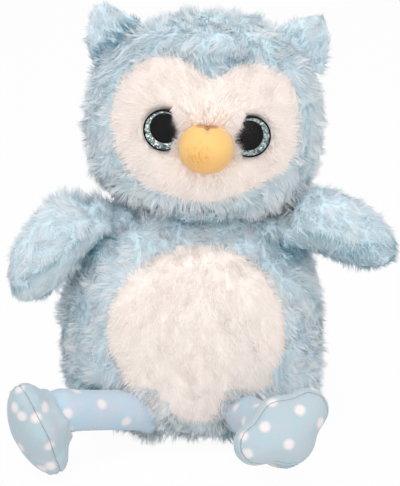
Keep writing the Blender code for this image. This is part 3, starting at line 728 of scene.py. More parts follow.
def toe_valley(own):
    """How far a point of the foot's own frame is from the lines between the toes."""
    angle = np.abs(np.arctan2(own[:, 1], own[:, 2]))
    out = np.hypot(own[:, 1], own[:, 2])
    return np.where(out > 12 * MM, np.minimum(np.abs(angle - math.radians(38)), 1) * out, 1)


def foot_skin(name, ankle, seam_level):
    angles = 2 * math.pi * np.arange(96) / 96
    half = FOOT_THICKNESS / 2 - SWELL_ROOM
    rows = 20
    rings = [[(FOOT_MIDDLE - half, 0, 0)]]
    for row in range(1, rows):
        turn = math.pi * (row / rows - 0.5)
        reach = (foot_outline(angles) - SWELL_ROOM) * float(power_round(np.cos(turn), FOOT_EDGE_POWER))
        level = FOOT_MIDDLE + half * float(power_round(np.sin(turn), FOOT_EDGE_POWER))
        rings.append([(level, r * math.sin(a), r * math.cos(a)) for r, a in zip(reach, angles)])
    rings.append([(FOOT_MIDDLE + half, 0, 0)])
    piece = lofted(name, rings, ankle)
    apply_step(piece, "REMESH", mode="VOXEL", voxel_size=1.6 * MM)
    apply_step(piece, "SMOOTH", iterations=2)

    def held(points):
        own = local(points, ankle)
        seam = np.abs(own[:, 0] - seam_level) < 1.1 * MM
        return seam | (toe_valley(own) < 1.0 * MM)

    swollen(piece, 5000, 1.6 * MM, held)
    apply_step(piece, "SUBSURF", levels=1, render_levels=1)
    own = local(points_of(piece.data), ankle)
    out = np.hypot(own[:, 1], own[:, 2])
    groove = 1.0 * MM if seam_level == FOOT_MIDDLE else 0.5 * MM
    sunk = groove * np.exp(-(((own[:, 0] - seam_level) / (0.75 * MM)) ** 2))
    sunk += 0.5 * MM * np.exp(-((toe_valley(own) / (1.8 * MM)) ** 2))
    sunk += 0.35 * MM * smooth_noise(own, 9 * MM, 41)
    cuff = 3.2 * MM * np.exp(-(((out - 12.5 * MM) / (3.2 * MM)) ** 2)) * (own[:, 0] < FOOT_MIDDLE - 4 * MM)
    sunk += -cuff * (1 + 0.25 * smooth_noise(own, 4 * MM, 43))
    put_points(piece.data, points_of(piece.data) - normals_of(piece.data) * sunk[:, None])
    stuffing = bpy.data.objects[name.replace("skin", "stuffing")]
    apply_step(piece, "SHRINKWRAP", target=stuffing, wrap_mode="OUTSIDE", offset=0.35 * MM)
    points = points_of(piece.data)
    points[:, 2] = np.maximum(points[:, 2], 0.3 * MM)
    put_points(piece.data, points)
    stored = piece.data.attributes.new("seam", "FLOAT", "POINT")
    stored.data.foreach_set("value", (own[:, 0] - seam_level).astype(np.float32))
    return piece


for name, limb in SIDES.items():
    limb["foot_skin"] = foot_skin(f"foot_skin_{name}", limb["ankle"], FOOT_MIDDLE + limb["seam"])
    print(name, "foot:", len(limb["foot_skin"].data.polygons), "faces")

# %% Legs


def leg_radius(x, length):
    """A hip ball, a tube that widens a little to the ankle, and the ankle's round end."""
    if x < 5 * MM:
        return math.sqrt(max(0, HIP_RADIUS**2 - x**2))
    if x > length:
        return math.sqrt(max(0, ANKLE_RADIUS**2 - (x - length) ** 2))
    share = (x - 5 * MM) / (length - 5 * MM)
    return LEG_RADIUS + (ANKLE_RADIUS - LEG_RADIUS) * share**2 + 0.7 * MM * (1 - share) ** 3


def leg_skin(name, place, length, seed):
    """The tube in rings, with the folds that gather at its two ends."""
    reach = HIP_RADIUS + length + ANKLE_RADIUS
    rings = [[(-HIP_RADIUS, 0, 0)]]
    count, rows = 72, 90
    angles = 2 * math.pi * np.arange(count) / count
    for row in range(1, rows):
        x = -HIP_RADIUS + reach * (0.5 - 0.5 * math.cos(math.pi * row / rows))
        radius = leg_radius(x, length)
        on_ring = np.column_stack(
            (np.full(count, x), radius * np.cos(angles), radius * np.sin(angles))
        )
        folds = 0.0
        for centre, depth in ((length - 13 * MM, 0.5), (length - 9 * MM, 0.7), (14 * MM, 0.5)):
            drifted = x - centre - 2.0 * MM * smooth_noise(on_ring, 9 * MM, seed + 3)
            strength = 0.5 + 0.5 * smooth_noise(on_ring, 11 * MM, seed + 9)
            folds = folds + depth * MM * strength * np.exp(-((drifted / (1.3 * MM)) ** 2))
        soft = radius - folds + 0.45 * MM * smooth_noise(on_ring, 13 * MM, seed)
        soft = np.maximum(soft, 0.2 * MM)
        rings.append([(x, r * math.cos(a), r * math.sin(a)) for r, a in zip(soft, angles)])
    rings.append([(length + ANKLE_RADIUS, 0, 0)])
    return lofted(name, rings, place)


for number, (name, limb) in enumerate(SIDES.items()):
    limb["leg_skin"] = leg_skin(f"leg_skin_{name}", limb["leg"], limb["leg_length"], 50 + number)
    print(name, "leg:", len(limb["leg_skin"].data.polygons), "faces")

# %% [markdown]
# ## Face outline and regions
# The white mask is a patch sewn into the head, with a notch at its top where blue pile hangs over
# it. The belly patch is an oval. A closed outline is drawn for each, seen from the front, and a
# place on a backing belongs to the patch if it lies inside the outline and faces forward.

# %% Outlines of the patches
MASK_EDGE = (  # millimetres across and up, from the notch at the top round to the owl's left
    (2.7, 49.8), (10.2, 53.6), (17.5, 57.8), (25.0, 57.8), (32.0, 55.5), (38.5, 52.0), (43.3, 46.5),
    (45.3, 40.0), (46.0, 32.0), (46.7, 21.9), (45.2, 11.6), (40.8, 5.5), (32.8, 0.3), (20.5, -6.2),
    (6.1, -11.0), (-9.2, -10.2), (-23.4, -7.0), (-32.7, -2.2), (-39.8, 5.4), (-44.7, 16.3),
    (-46.3, 29.8), (-43.0, 43.5), (-36.5, 52.5), (-28.5, 57.5), (-18.5, 59.5), (-10.5, 57.5),
    (-4.6, 53.6),
)
BELLY_CENTRE = (2.5 * MM, 66 * MM)
BELLY_HALF = (46.5 * MM, 47 * MM)


def smooth_closed(points, steps=6):
    """A closed curve through the points."""
    found = []
    for i in range(len(points)):
        before, start, stop, after = (np.array(points[(i + k) % len(points)]) for k in (-1, 0, 1, 2))
        for step in range(steps):
            t = step / steps
            bend = (
                2 * start
                + (stop - before) * t
                + (2 * before - 5 * start + 4 * stop - after) * t**2
                + (3 * start - before - 3 * stop + after) * t**3
            )
            found.append(bend / 2)
    return np.array(found)


def inside_outline(flat, outline):
    """Which points of a plane lie inside a closed outline."""
    x, y = flat[:, 0], flat[:, 1]
    inside = np.zeros(len(flat), bool)
    for (x1, y1), (x2, y2) in zip(outline, np.roll(outline, -1, axis=0)):
        if y1 == y2:
            continue
        crosses = (y1 > y) != (y2 > y)
        inside ^= crosses & (x < (x2 - x1) * (y - y1) / (y2 - y1) + x1)
    return inside


MASK = smooth_closed([(x * MM, z * MM) for x, z in MASK_EDGE])


def on_mask(points):
    p = local(points, HEAD)
    return inside_outline(p[:, [0, 2]], MASK) & (p[:, 1] < 0)


def on_belly(points):
    across = (points[:, 0] - BELLY_CENTRE[0]) / BELLY_HALF[0]
    up = (points[:, 2] - BELLY_CENTRE[1]) / BELLY_HALF[1]
    return (across**2 + up**2 < 1) & (points[:, 1] < 0)


print("mask outline:", len(MASK), "points")

# %% [markdown]
# ## Pile
# Long pile is what makes plush plush, and a bumpy surface can't show it: its tips break up the
# outline of the toy. So each tuft of fibres is a real tapered strand with three sides.
# The strands are scattered evenly over a backing. Each leans the way the cloth was brushed, and
# its tip is drawn towards the tips of its neighbours, which gives the pile its small clumps.

# %% Scatter and grow
randoms = np.random.default_rng(7)
TUFT = 7 * MM  # clumps wider than this are tufts, with shorter strands and painted shade in the valley round each


def scattered(piece, spacing):
    """Places and normals, about one in each square of the spacing."""
    mesh = piece.data
    mesh.calc_loop_triangles()
    corners = np.empty(len(mesh.loop_triangles) * 3, np.int32)
    mesh.loop_triangles.foreach_get("vertices", corners)
    corners = corners.reshape(-1, 3)
    points, normals = points_of(mesh), normals_of(mesh)
    a, b, c = (points[corners[:, k]] for k in range(3))
    area = np.linalg.norm(np.cross(b - a, c - a), axis=1) / 2
    count = int(area.sum() / spacing**2)
    steps = (np.arange(count) + randoms.random(count)) / count * area.sum()
    chosen = np.minimum(np.searchsorted(np.cumsum(area), steps), len(area) - 1)
    u, v = randoms.random((2, count))
    over = u + v > 1
    u, v = np.where(over, 1 - u, u), np.where(over, 1 - v, v)
    weights = np.column_stack((1 - u - v, u, v))
    places = (points[corners[chosen]] * weights[:, :, None]).sum(axis=1)
    facing = unit_rows((normals[corners[chosen]] * weights[:, :, None]).sum(axis=1))
    return places, facing


def flattened(vectors, normals):
    """The part of each vector that lies along the surface, no longer than 1."""
    along = vectors - normals * (vectors * normals).sum(axis=1)[:, None]
    size = np.linalg.norm(along, axis=1, keepdims=True)
    return along / np.maximum(size, 1)


def clumped(places, spacing):
    """The nearest clump's number for each place, and the strands that stand at the clumps' middles."""
    tree = KDTree(len(places))
    cells = np.floor(places / spacing + randoms.random(3)).astype(np.int64)
    _, middles = np.unique(cells, axis=0, return_index=True)
    for number, strand in enumerate(middles):
        tree.insert(places[strand], number)
    tree.balance()
    return np.array([tree.find(place)[1] for place in places]), middles


def grown(name, places, normals, comb, length, lean, width, clumps, crease_shade):
    """Strands as one mesh. comb points along the surface, and lean is how far the tips follow it.
    clumps are (spacing, how far the clump strays, how far its tips gather), the widest first.
    The last one, the crease shade, is how much painted shade each strand gets: 1 in a crease."""
    count = len(places)
    length = length * (0.80 + 0.3 * randoms.random(count))
    along = unit_rows(flattened(comb, normals)) * np.reshape(lean, (-1, 1))
    gathering = []
    painted_shade = np.zeros(count) + crease_shade
    for spacing, stray, gather in clumps:
        nearest, middles = clumped(places, spacing)
        if spacing > TUFT:
            far = np.linalg.norm(places - places[middles][nearest], axis=1) / spacing
            edge = np.clip((far - 0.28) / 0.42, 0, 1)
            length = length * (1.10 - 0.34 * edge)
            # Painted shade in the valleys round the tufts.
            painted_shade = np.clip(painted_shade + 0.36 * edge, 0, 1)
        own_way = flattened(randoms.normal(size=(len(middles), 3)), normals[middles]) * stray
        along = along + own_way[nearest]
        gathering.append((nearest, middles, gather))
    along = along + flattened(randoms.normal(size=(count, 3)), normals) * 0.14
    size = np.linalg.norm(along, axis=1, keepdims=True)
    along = along / np.maximum(size / 0.95, 1)
    standing = np.sqrt(1 - np.minimum(size, 0.95)[:, 0] ** 2)
    tips = places + (normals * standing[:, None] + along) * length[:, None]
    for nearest, middles, gather in gathering:
        tips += (tips[middles][nearest] - tips) * gather
    feet = places - normals * (0.4 * MM)

    axis = unit_rows(tips - feet)
    side = unit_rows(np.cross(normals + 0.02 * randoms.normal(size=(count, 3)), axis))
    out = unit_rows(np.cross(axis, side))
    roll = randoms.normal(size=count)[:, None] * 0.25
    side, out = side * np.cos(roll) + out * np.sin(roll), out * np.cos(roll) - side * np.sin(roll)
    half = width * (0.75 + 0.5 * randoms.random(count))[:, None]
    points = np.empty((count, 4, 3))
    for k, (across, up) in enumerate(((0, 0.3), (-1, -0.05), (1, -0.05))):
        points[:, k] = feet + side * half * across + out * half * up
    points[:, 3] = tips
    return strand_mesh(name, points.reshape(-1, 3), count, painted_shade)


STRAND_FLAT = (  # a strand laid flat in its own square: the foot, then the three sides
    (0.97, 0.92), (0.90, 0.98), (0.83, 0.92),
    (0.02, 0.02), (0.32, 0.02), (0.17, 0.90),
    (0.35, 0.02), (0.65, 0.02), (0.50, 0.90),
    (0.68, 0.02), (0.98, 0.02), (0.83, 0.90),
)


def strand_mesh(name, points, count, painted_shade):
    """Three long sides, and a small face that closes the foot."""
    pattern = np.array([2, 1, 0, 0, 1, 3, 1, 2, 3, 2, 0, 3])
    loops = (pattern[None] + 4 * np.arange(count)[:, None]).ravel()
    mesh = bpy.data.meshes.new(name)
    mesh.vertices.add(count * 4)
    mesh.loops.add(count * 12)
    mesh.polygons.add(count * 4)
    points[:, 2] = np.maximum(points[:, 2], 0.15 * MM)
    mesh.vertices.foreach_set("co", np.ascontiguousarray(points, np.float32).ravel())
    mesh.loops.foreach_set("vertex_index", loops.astype(np.int32))
    mesh.polygons.foreach_set("loop_start", np.arange(0, count * 12, 3, dtype=np.int32))
    mesh.update(calc_edges=True)
    mesh.shade_flat()
    side = math.ceil(math.sqrt(count))
    cell = np.stack(np.divmod(np.arange(count), side)[::-1], axis=1)[:, None]
    flat = (cell + np.array(STRAND_FLAT)[None]) / (side, math.ceil(count / side))
    mesh.uv_layers.new(name="OFBake").uv.foreach_set("vector", flat.astype(np.float32).ravel())
    reach = mesh.attributes.new("reach", "FLOAT", "POINT")
    reach.data.foreach_set("value", np.tile([0, 0, 0, 1], count).astype(np.float32))
    for stored, value in (("tone", randoms.random(count)), ("painted_shade", painted_shade)):
        layer = mesh.attributes.new(stored, "FLOAT", "POINT")
        layer.data.foreach_set("value", np.repeat(value, 4).astype(np.float32))
    piece = bpy.data.objects.new(name, mesh)
    bpy.context.scene.collection.objects.link(piece)
    return piece


print("pile helpers ready")

# %% Pile finishes


def pile_finish(name, root, middle, tip, cloud, shade_colour):
    """Fibres darker at the root, with a slow drift of colour over the toy and from strand to strand, and
    painted shade in creases and tuft valleys.
    """
    finish = Finish(name)
    reach = finish.node("Attribute", output="Fac", attribute_name="reach")
    tone = finish.node("Attribute", output="Fac", attribute_name="tone")
    painted_shade = finish.node("Attribute", output="Fac", attribute_name="painted_shade")
    stops = ((0.0, root), (0.45, middle), (1.0, tip))
    ramp = finish.node("ValToRGB", {"Fac": reach}, "Color", stops)
    drift = finish.node("MapRange", {"Value": finish.noise(32, 2.0), "From Min": 0.35, "From Max": 0.65})
    shade = finish.mix(drift, ramp, cloud, "MULTIPLY")
    shade = finish.mix(tone * 0.25, shade, (0.86, 0.90, 0.93), "MULTIPLY")
    # Painted shade: the colour is multiplied towards the shade colour as the strand's share of shade rises.
    shade = finish.mix(painted_shade, shade, shade_colour, "MULTIPLY")
    return finish.surface(Base_Color=shade, Roughness=0.8, Sheen_Weight=0.2, Sheen_Roughness=0.5)


# The last colour of each finish is its painted shade, for creases and tuft valleys.
BLUE = pile_finish("blue_pile", (0.66, 0.77, 0.80), (0.84, 0.88, 0.895), (0.975, 0.97, 0.965),
                   (0.95, 0.96, 0.99), (0.22, 0.45, 0.54))
WHITE = pile_finish("white_pile", (0.94, 0.83, 0.77), (0.965, 0.895, 0.86), (0.975, 0.915, 0.89),
                    (1.0, 0.985, 0.97), (1.0, 0.84, 0.72))


def knit_finish(name, colour, dark):
    """The knitted backing, which shows only between the strands."""
    finish = Finish(name)
    loops = finish.noise(900, 1.0)
    shade = finish.mix(loops, colour, dark)
    return finish.surface(Base_Color=shade, Roughness=0.95, Normal=finish.bump(loops, 0.0003))


BLUE_KNIT = knit_finish("blue_knit", (0.70, 0.83, 0.89), (0.62, 0.77, 0.84))
WHITE_KNIT = knit_finish("white_knit", (0.98, 0.91, 0.86), (0.95, 0.87, 0.81))


def dress(piece, finish, body, *nodes, slot=None):
    """Gives a piece its material, its body and the solids it stands for. The slot is not used."""
    piece.data.materials.clear()
    piece.data.materials.append(finish)
    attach(piece, body)
    if nodes:
        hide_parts(*nodes)
    return piece


# %% [markdown]
# ## Seats of the eyes
# A safety eye is clamped to the cloth by a washer behind it, so it sits in a dimple. The backing of
# the head is pressed in under each eye before the mask is cut from it.

# %% Seats of the eyes
EYES = {"left": (-20.0 * MM, 24.5 * MM), "right": (22.5 * MM, 23.4 * MM)}
PUPIL_SHIFT = {"left": (0.4 * MM, 1.0 * MM), "right": (-0.9 * MM, 0.5 * MM)}
EYE_RADIUS = 10.3 * MM
BEAK_PLACE = (1.0 * MM, 17.5 * MM)
EYE_TURN = 12
EYE_SEAT = 5.8 * MM  # from the head's face to the floor of the eye's recess


def head_front(x, z, inset):
    """Y of the face in the head's frame, inset by a thickness."""
    bottom, middle, top = HEAD_FORM["levels"]
    above = z > middle
    reach = (top - middle if above else middle - bottom) - inset
    power = HEAD_FORM["powers"][1 if above else 0]
    level = (1 - (abs(z - middle) / reach) ** power) ** (1 / power)
    across = abs(x) / ((HEAD_FORM["half"][0] - inset) * level)
    return -(HEAD_FORM["half"][1] - inset) * level * (1 - across**PLAN_POWER) ** (1 / PLAN_POWER)


def eye_place(name):
    """The eye's own frame: local Z looks out of the eye, from the floor of its recess."""
    x, z = EYES[name]
    aside = Matrix.Rotation(math.radians(SIDES[name]["side"] * EYE_TURN), 4, "Z")
    seat = Matrix.Translation((x, head_front(x, z, EYE_SEAT), z))
    return HEAD @ seat @ aside @ Matrix.Rotation(math.radians(90), 4, "X")


for name in EYES:
    own = local(points_of(head_skin.data), eye_place(name))
    away = np.hypot(own[:, 0], own[:, 1])
    share = np.clip((EYE_RADIUS + 2.6 * MM - away) / (1.8 * MM), 0, 1)
    share = share * share * (3 - 2 * share) * (own[:, 2] > -12 * MM)
    own[:, 2] += np.minimum(-2.2 * MM - own[:, 2], 0) * share
    put_points(head_skin.data, moved(own, eye_place(name)))
print("the eyes press the face in by up to", round(EYE_SEAT / MM, 1), "mm")

# %% [markdown]
# ## Patches
# The mask and the belly are cut from white plush and sewn in. Each patch is lifted off the backing
# under it: the faces inside the outline are copied, and a Solidify modifier gives them the
# thickness of a cloth.

# %% White patches


def patch(name, backing, belongs, lift):
    """A copy of the faces of a backing that lie inside an outline, thickened outwards."""
    deselect()
    backing.select_set(True)
    bpy.context.view_layer.objects.active = backing
    bpy.ops.object.duplicate()
    piece = bpy.context.object
    piece.name = name
    mesh = piece.data
    centres = np.empty(len(mesh.polygons) * 3)
    mesh.polygons.foreach_get("center", centres)
    outside = ~belongs(centres.reshape(-1, 3))
    bpy.ops.object.mode_set(mode="EDIT")
    bpy.ops.mesh.select_all(action="DESELECT")
    bpy.ops.mesh.select_mode(type="FACE")
    bpy.ops.object.mode_set(mode="OBJECT")
    mesh.polygons.foreach_set("select", outside)
    bpy.ops.object.mode_set(mode="EDIT")
    bpy.ops.mesh.delete(type="FACE")
    bpy.ops.object.mode_set(mode="OBJECT")
    cloth = piece.modifiers.new("cloth", "SOLIDIFY")
    cloth.thickness = lift
    cloth.offset = 1
    bpy.ops.object.modifier_apply(modifier=cloth.name)
    return piece


face_patch = patch("face_patch", head_skin, on_mask, 1.6 * MM)
belly_patch = patch("belly_patch", torso_skin, on_belly, 0.8 * MM)
print("face patch:", len(face_patch.data.polygons), "faces")

# %% Grow the pile of the torso
DOWN = np.array((0.0, 0.0, -1.0))
SPACING = 0.82 * MM
FORM_REACH = 60 * MM  # about how far a large form's face is from its middle
COLLAR_RADIUS = 9.0 * MM  # the cloth between the body and a wing
COLLAR_INWARD = 11.8 * MM
COLLAR_DROP = 1.2 * MM
HIP_RING = (9 * MM, 19 * MM)  # where the body's pile hangs over a leg
LONG_PILE = ((10 * MM, 0.55, 0.12), (4.5 * MM, 0.45, 0.16), (2.0 * MM, 0.28, 0.30))
FINE_PILE = ((6.5 * MM, 0.20, 0.06), (4.0 * MM, 0.12, 0.10), (1.6 * MM, 0.08, 0.26))


def parts_of(name, places, most=49000):
    """Splits the places into pieces small enough to export whole, by their angle round the toy."""
    order = np.argsort(np.arctan2(places[:, 0], places[:, 1]))
    count = max(1, math.ceil(len(order) / most))
    for k, part in enumerate(np.array_split(order, count)):
        yield (f"{name}_{k + 1}" if count > 1 else name), part


def pile(name, places, normals, comb, length, lean, width, clumps, finish, body, slot, crease_shade=0.0):
    for piece_name, part in parts_of(name, places):
        own = [v[part] if isinstance(v, np.ndarray) else v for v in (length, lean, crease_shade)]
        piece = grown(
            piece_name, places[part], normals[part], comb[part], *own[:2], width, clumps, own[2]
        )
        dress(piece, finish, body, slot=slot)
        print(piece_name, len(part), "strands")


def far_from(places, centre):
    return np.linalg.norm(places - np.array(centre), axis=1)


def distance_to(places, piece):
    """From each place to the nearest point of another piece's mesh."""
    points = points_of(piece.data)
    tree = KDTree(len(points))
    for number, point in enumerate(points):
        tree.insert(point, number)
    tree.balance()
    return np.array([tree.find(place)[2] for place in places])


places, normals = scattered(torso_skin, SPACING)
to_neck = (depth_in(places, NECK_ROOM, HEAD, PILE_DEPTH) - 1) * FORM_REACH
skip = on_belly(places) | (to_neck < 1.0 * MM)
# Painted shade on the body's pile: in the fold over the left hip, in patches round the neck, next to each
# wing and round each leg.
crease_shade = 0.8 * sag_of(places)
crease_shade += 0.5 * np.exp(-((to_neck / (5 * MM)) ** 2)) * eased(smooth_noise(places, 12 * MM, 91), -0.4, 0.4)
for limb in SIDES.values():
    away = far_from(places, limb["shoulder"].translation)
    skip |= away < COLLAR_RADIUS
    crease_shade += np.exp(-((distance_to(places, limb["wing_skin"]) / (7 * MM)) ** 2))
    crease_shade += 0.7 * np.exp(-((distance_to(places, limb["leg_skin"]) / (3 * MM)) ** 2))
places, normals, crease_shade = places[~skip], normals[~skip], crease_shade[~skip]


def out_from(places, centre):
    """Directions across the front, away from a centre."""
    away = places - np.array((centre[0], 0, centre[1]))
    away[:, 1] = 0
    return unit_rows(away)


comb = DOWN * 0.45 + out_from(places, BELLY_CENTRE) * 0.20
comb += swirl(places, 20 * MM, 100) * 0.7 + swirl(places, 8 * MM, 110) * 0.7
pile("torso_pile", places, normals, comb, 7.0 * MM, 0.86, 0.20 * MM, LONG_PILE, BLUE, "trunk",
     "blue_plush", np.clip(crease_shade, 0, 1))
for name, limb in SIDES.items():
    middle = limb["shoulder"].translation + Vector((-limb["side"] * COLLAR_INWARD, 0, -COLLAR_DROP))
    limb["collar"] = ball_of_cloth(
        f"shoulder_backing_{name}", COLLAR_RADIUS, 48, 32, Matrix.Translation(middle)
    )
    lumps(limb["collar"], 0.5 * MM, 9 * MM, 31)
    spots, facing = scattered(limb["collar"], SPACING)
    grows = depth_in(spots, TORSO, WORLD, PILE_DEPTH) > 1
    grows &= depth_in(spots, HEAD_FORM, HEAD, PILE_DEPTH) > 1
    grows &= far_from(spots, limb["shoulder"].translation) > WING_ROOT - 3 * MM
    spots, facing = spots[grows], facing[grows]
    comb = np.array((limb["side"] * 0.6, -0.2, -0.6)) + swirl(spots, 12 * MM, 130) * 0.5
    # The shoulder's pile gets a quarter of the painted shade all over.
    pile(f"shoulder_pile_{name}", spots, facing, comb, 6.5 * MM, 0.80, 0.20 * MM, LONG_PILE, BLUE,
         "trunk", "blue_plush", 0.25)
    hip = np.array(limb["hip"])
    spots, facing = scattered(torso_skin, SPACING * 0.75)
    away = np.linalg.norm(spots - hip - (0, 0, 2 * MM), axis=1)
    round_hip = (away > HIP_RING[0]) & (away < HIP_RING[1])
    spots, facing = spots[round_hip], facing[round_hip]
    outward = np.array((limb["ankle"].translation - limb["hip"]).normalized())
    comb = unit_rows(hip + outward * 14 * MM - spots)
    pile(f"hip_pile_{name}", spots, facing, comb, 9.5 * MM, 0.72, 0.20 * MM, LONG_PILE, BLUE, "trunk",
         "blue_plush")

places, normals = scattered(belly_patch, SPACING)
front = (normals[:, 1] < 0.2) & on_belly(places)
places, normals = places[front], normals[front]
to_rim = far_from(places * (1, 0, 1), (BELLY_CENTRE[0], 0, BELLY_CENTRE[1]))
comb = DOWN * 0.6 + swirl(places, 14 * MM, 160) * 0.4 + swirl(places, 5 * MM, 170) * 0.5
comb += out_from(places, BELLY_CENTRE) * 0.9 * eased(to_rim, 32 * MM, 46 * MM)[:, None]
pile("belly_pile", places, normals, comb, 4.8 * MM, 0.86, 0.18 * MM, FINE_PILE, WHITE, "trunk",
     "white_plush")

# %% Grow the pile of the head
places, normals = scattered(head_skin, SPACING)
skip = on_mask(places) | (depth_in(places, TORSO, WORLD, 3 * MM) < 1)
places, normals = places[~skip], normals[~skip]
own = local(places, HEAD)
comb = DOWN * 0.60 + unit_rows(own * np.array((1, 1, 0))) * 0.25
comb += swirl(places, 18 * MM, 300) * 0.6 + swirl(places, 8 * MM, 310) * 0.6
over_mask = (np.abs(own[:, 0]) < 40 * MM) & (own[:, 1] < 0) & (own[:, 2] > 46 * MM) & (own[:, 2] < 70 * MM)
comb[over_mask] = DOWN + 0.35 * swirl(places[over_mask], 9 * MM, 320)
length = np.where((own[:, 2] < -4 * MM) | over_mask, 8.0, 6.4) * MM
# Painted shade on the head's pile: round the base of each ear, much deeper on the left, and a painted
# shadow in a line under the brow roll.
crease_shade = np.zeros(len(places))
for limb in SIDES.values():
    by_ear = local(places, limb["ear"])
    close = np.exp(-(((np.abs(by_ear[:, 1]) - 4 * MM) / (3.5 * MM)) ** 2))
    close = close * (np.abs(by_ear[:, 0]) < 18 * MM) * (by_ear[:, 2] > -7 * MM)
    crease_shade += limb["ear_crease_shade"] * close
under_brow_shadow = np.exp(-(((own[:, 2] - 60 * MM) / (1.6 * MM)) ** 2)) * (np.abs(own[:, 0] - 4 * MM) < 20 * MM)
crease_shade += 0.6 * under_brow_shadow * (own[:, 1] < 0)
pile("head_pile", places, normals, comb, length, 0.86, 0.20 * MM, LONG_PILE, BLUE, "head",
     "blue_plush", np.clip(crease_shade, 0, 1))

places, normals = scattered(neck_skin, SPACING)
level = local(places, HEAD)[:, 2]
grows = (depth_in(places, HEAD_FORM, HEAD, PILE_DEPTH) > 1) & (level > -31 * MM) & (level < 0)
places, normals = places[grows], normals[grows]
comb = normals * (1, 1, 0) + swirl(places, 12 * MM, 340) * 0.5
# The neck's pile gets half the painted shade all over, as it lies under the head.
pile("neck_pile", places, normals, comb, 5.0 * MM, 0.85, 0.19 * MM, LONG_PILE, BLUE, "head",
     "blue_plush", 0.5)

places, normals = scattered(face_patch, SPACING * 0.9)
own = local(places, HEAD)
to_beak = np.hypot(own[:, 0] - BEAK_PLACE[0], own[:, 2] - BEAK_PLACE[1])
loose = eased(to_beak, 14 * MM, 32 * MM)[:, None]
comb = out_from(own, BEAK_PLACE) * 0.7
comb += (swirl(places, 13 * MM, 360) * 0.35 + swirl(places, 6 * MM, 365) * 0.4) * loose
# Painted warm shade round the edge of the beak, where the beak's yellow reflects onto the white fur.
crease_shade = 0.5 * np.exp(-(((to_beak - 12 * MM) / (4 * MM)) ** 2))
keep = (normals[:, 1] < 0.2) & on_mask(places) & (to_beak > 10.5 * MM)
length = (3.8 + 1.2 * loose[:, 0]) * MM
for x, z in EYES.values():
    to_eye = np.array((x, 0, z)) - own * (1, 0, 1)
    away = np.linalg.norm(to_eye, axis=1)
    keep &= away > EYE_RADIUS + 0.6 * MM
    facing_it = (comb * to_eye).sum(axis=1) > 0
    length = np.where(facing_it, np.minimum(length, (away - EYE_RADIUS) * 1.1), length)
pile("face_pile", places[keep], normals[keep], comb[keep], length[keep], 0.84, 0.17 * MM, FINE_PILE,
     WHITE, "head", "white_plush", crease_shade[keep])

# On the side of the nose, fine spikes of fur hang over the edge of each eye.
for name, (x, z) in EYES.items():
    eye = eye_place(name)
    places, _ = scattered(face_patch, SPACING * 0.45)
    own = local(places, HEAD)
    to_eye = np.array((x, 0, z)) - own * (1, 0, 1)
    away = np.linalg.norm(to_eye, axis=1)
    inward = to_eye[:, 0] * math.copysign(1, x) / away
    fringe = (away > EYE_RADIUS + 1.3 * MM) & (away < EYE_RADIUS + 4.0 * MM) & (inward > 0.30)
    by_eye = local(places[fringe], eye)
    by_eye[:, 2] = np.maximum(by_eye[:, 2], 4.3 * MM)
    places, to_eye, inward = moved(by_eye, eye), to_eye[fringe], inward[fringe]
    comb = unit_rows(to_eye) + randoms.normal(size=to_eye.shape) * 0.22
    normals = np.tile(np.array(eye.to_3x3() @ Vector((0, 0, 1))), (len(places), 1))
    past = 2.9 + 4.2 * randoms.random(len(places)) ** 4 + 0.9 * smooth_noise(places, 1.2 * MM, 371)
    length = away[fringe] - EYE_RADIUS + past * MM * eased(inward, 0.25, 0.75)
    pile(f"eye_fringe_{name}", places, normals, comb, length, 0.93, 0.11 * MM,
         ((3.0 * MM, 0.12, 0.04), (1.2 * MM, 0.12, 0.22)), WHITE, "head", "white_plush")

# %% Grow the pile of the wings and ears
for name, limb in SIDES.items():
    places, normals = scattered(limb["wing_skin"], SPACING)
    grows = depth_in(places, TORSO, WORLD, PILE_DEPTH) > 1
    places, normals = places[grows], normals[grows]
    out = local(places, limb["shoulder"])
    to_body = (depth_in(places, TORSO, WORLD, PILE_DEPTH) - 1) * FORM_REACH
    # Painted shade on the wing's pile: next to the body, in a line along the fold, and below the fold, more
    # on the right wing.
    crease_shade = 0.8 * (1 - eased(to_body, 1 * MM, 9 * MM)) * eased(-out[:, 2], -6 * MM, 6 * MM)
    fold = out[:, 2] - 5 * MM - 2 * MM * smooth_noise(places, 14 * MM, 510)
    crease_shade += 0.55 * np.exp(-((fold / (1.8 * MM)) ** 2)) * eased(out[:, 0], 2 * MM, 12 * MM)
    crease_shade += limb["wing_shade"] * eased(-fold, 0, 4 * MM) * eased(out[:, 0], 2 * MM, 12 * MM)
    crease_shade = np.clip(crease_shade, 0, 1)
    tipward = np.array(limb["shoulder"].to_3x3() @ Vector((1, 0, 0)))
    comb = tipward * 0.7 + DOWN * 0.3 + swirl(places, 16 * MM, 500) * 0.6
    by_cheek = (1 - eased(out[:, 0], 2 * MM, 16 * MM)) * eased(out[:, 2], 2 * MM, 8 * MM)
    pile(f"wing_pile_{name}", places, normals, comb, (5.2 + 3.0 * by_cheek) * MM, 0.86 - 0.2 * by_cheek,
         0.19 * MM, LONG_PILE, BLUE, f"wing_{name}", "blue_plush", crease_shade)
    places, normals = scattered(limb["ear_skin"], SPACING)
    grows = local(places, limb["ear"])[:, 2] > -3 * MM
    places, normals = places[grows], normals[grows]
    upward = np.array(limb["ear"].to_3x3() @ Vector((0, 0, 1)))
    comb = upward * 0.6 + swirl(places, 12 * MM, 600) * 0.4
    # Painted shade on the ear's pile near the head, much deeper on the left ear.
    to_head = (depth_in(places, HEAD_FORM, HEAD, PILE_DEPTH) - 1) * FORM_REACH
    crease_shade = limb["ear_crease_shade"] * (1 - eased(to_head, 1 * MM, 9 * MM))
    pile(f"ear_pile_{name}", places, normals, comb, 5.2 * MM, 0.84, 0.18 * MM, LONG_PILE, BLUE,
         f"ear_{name}", "blue_plush", crease_shade)

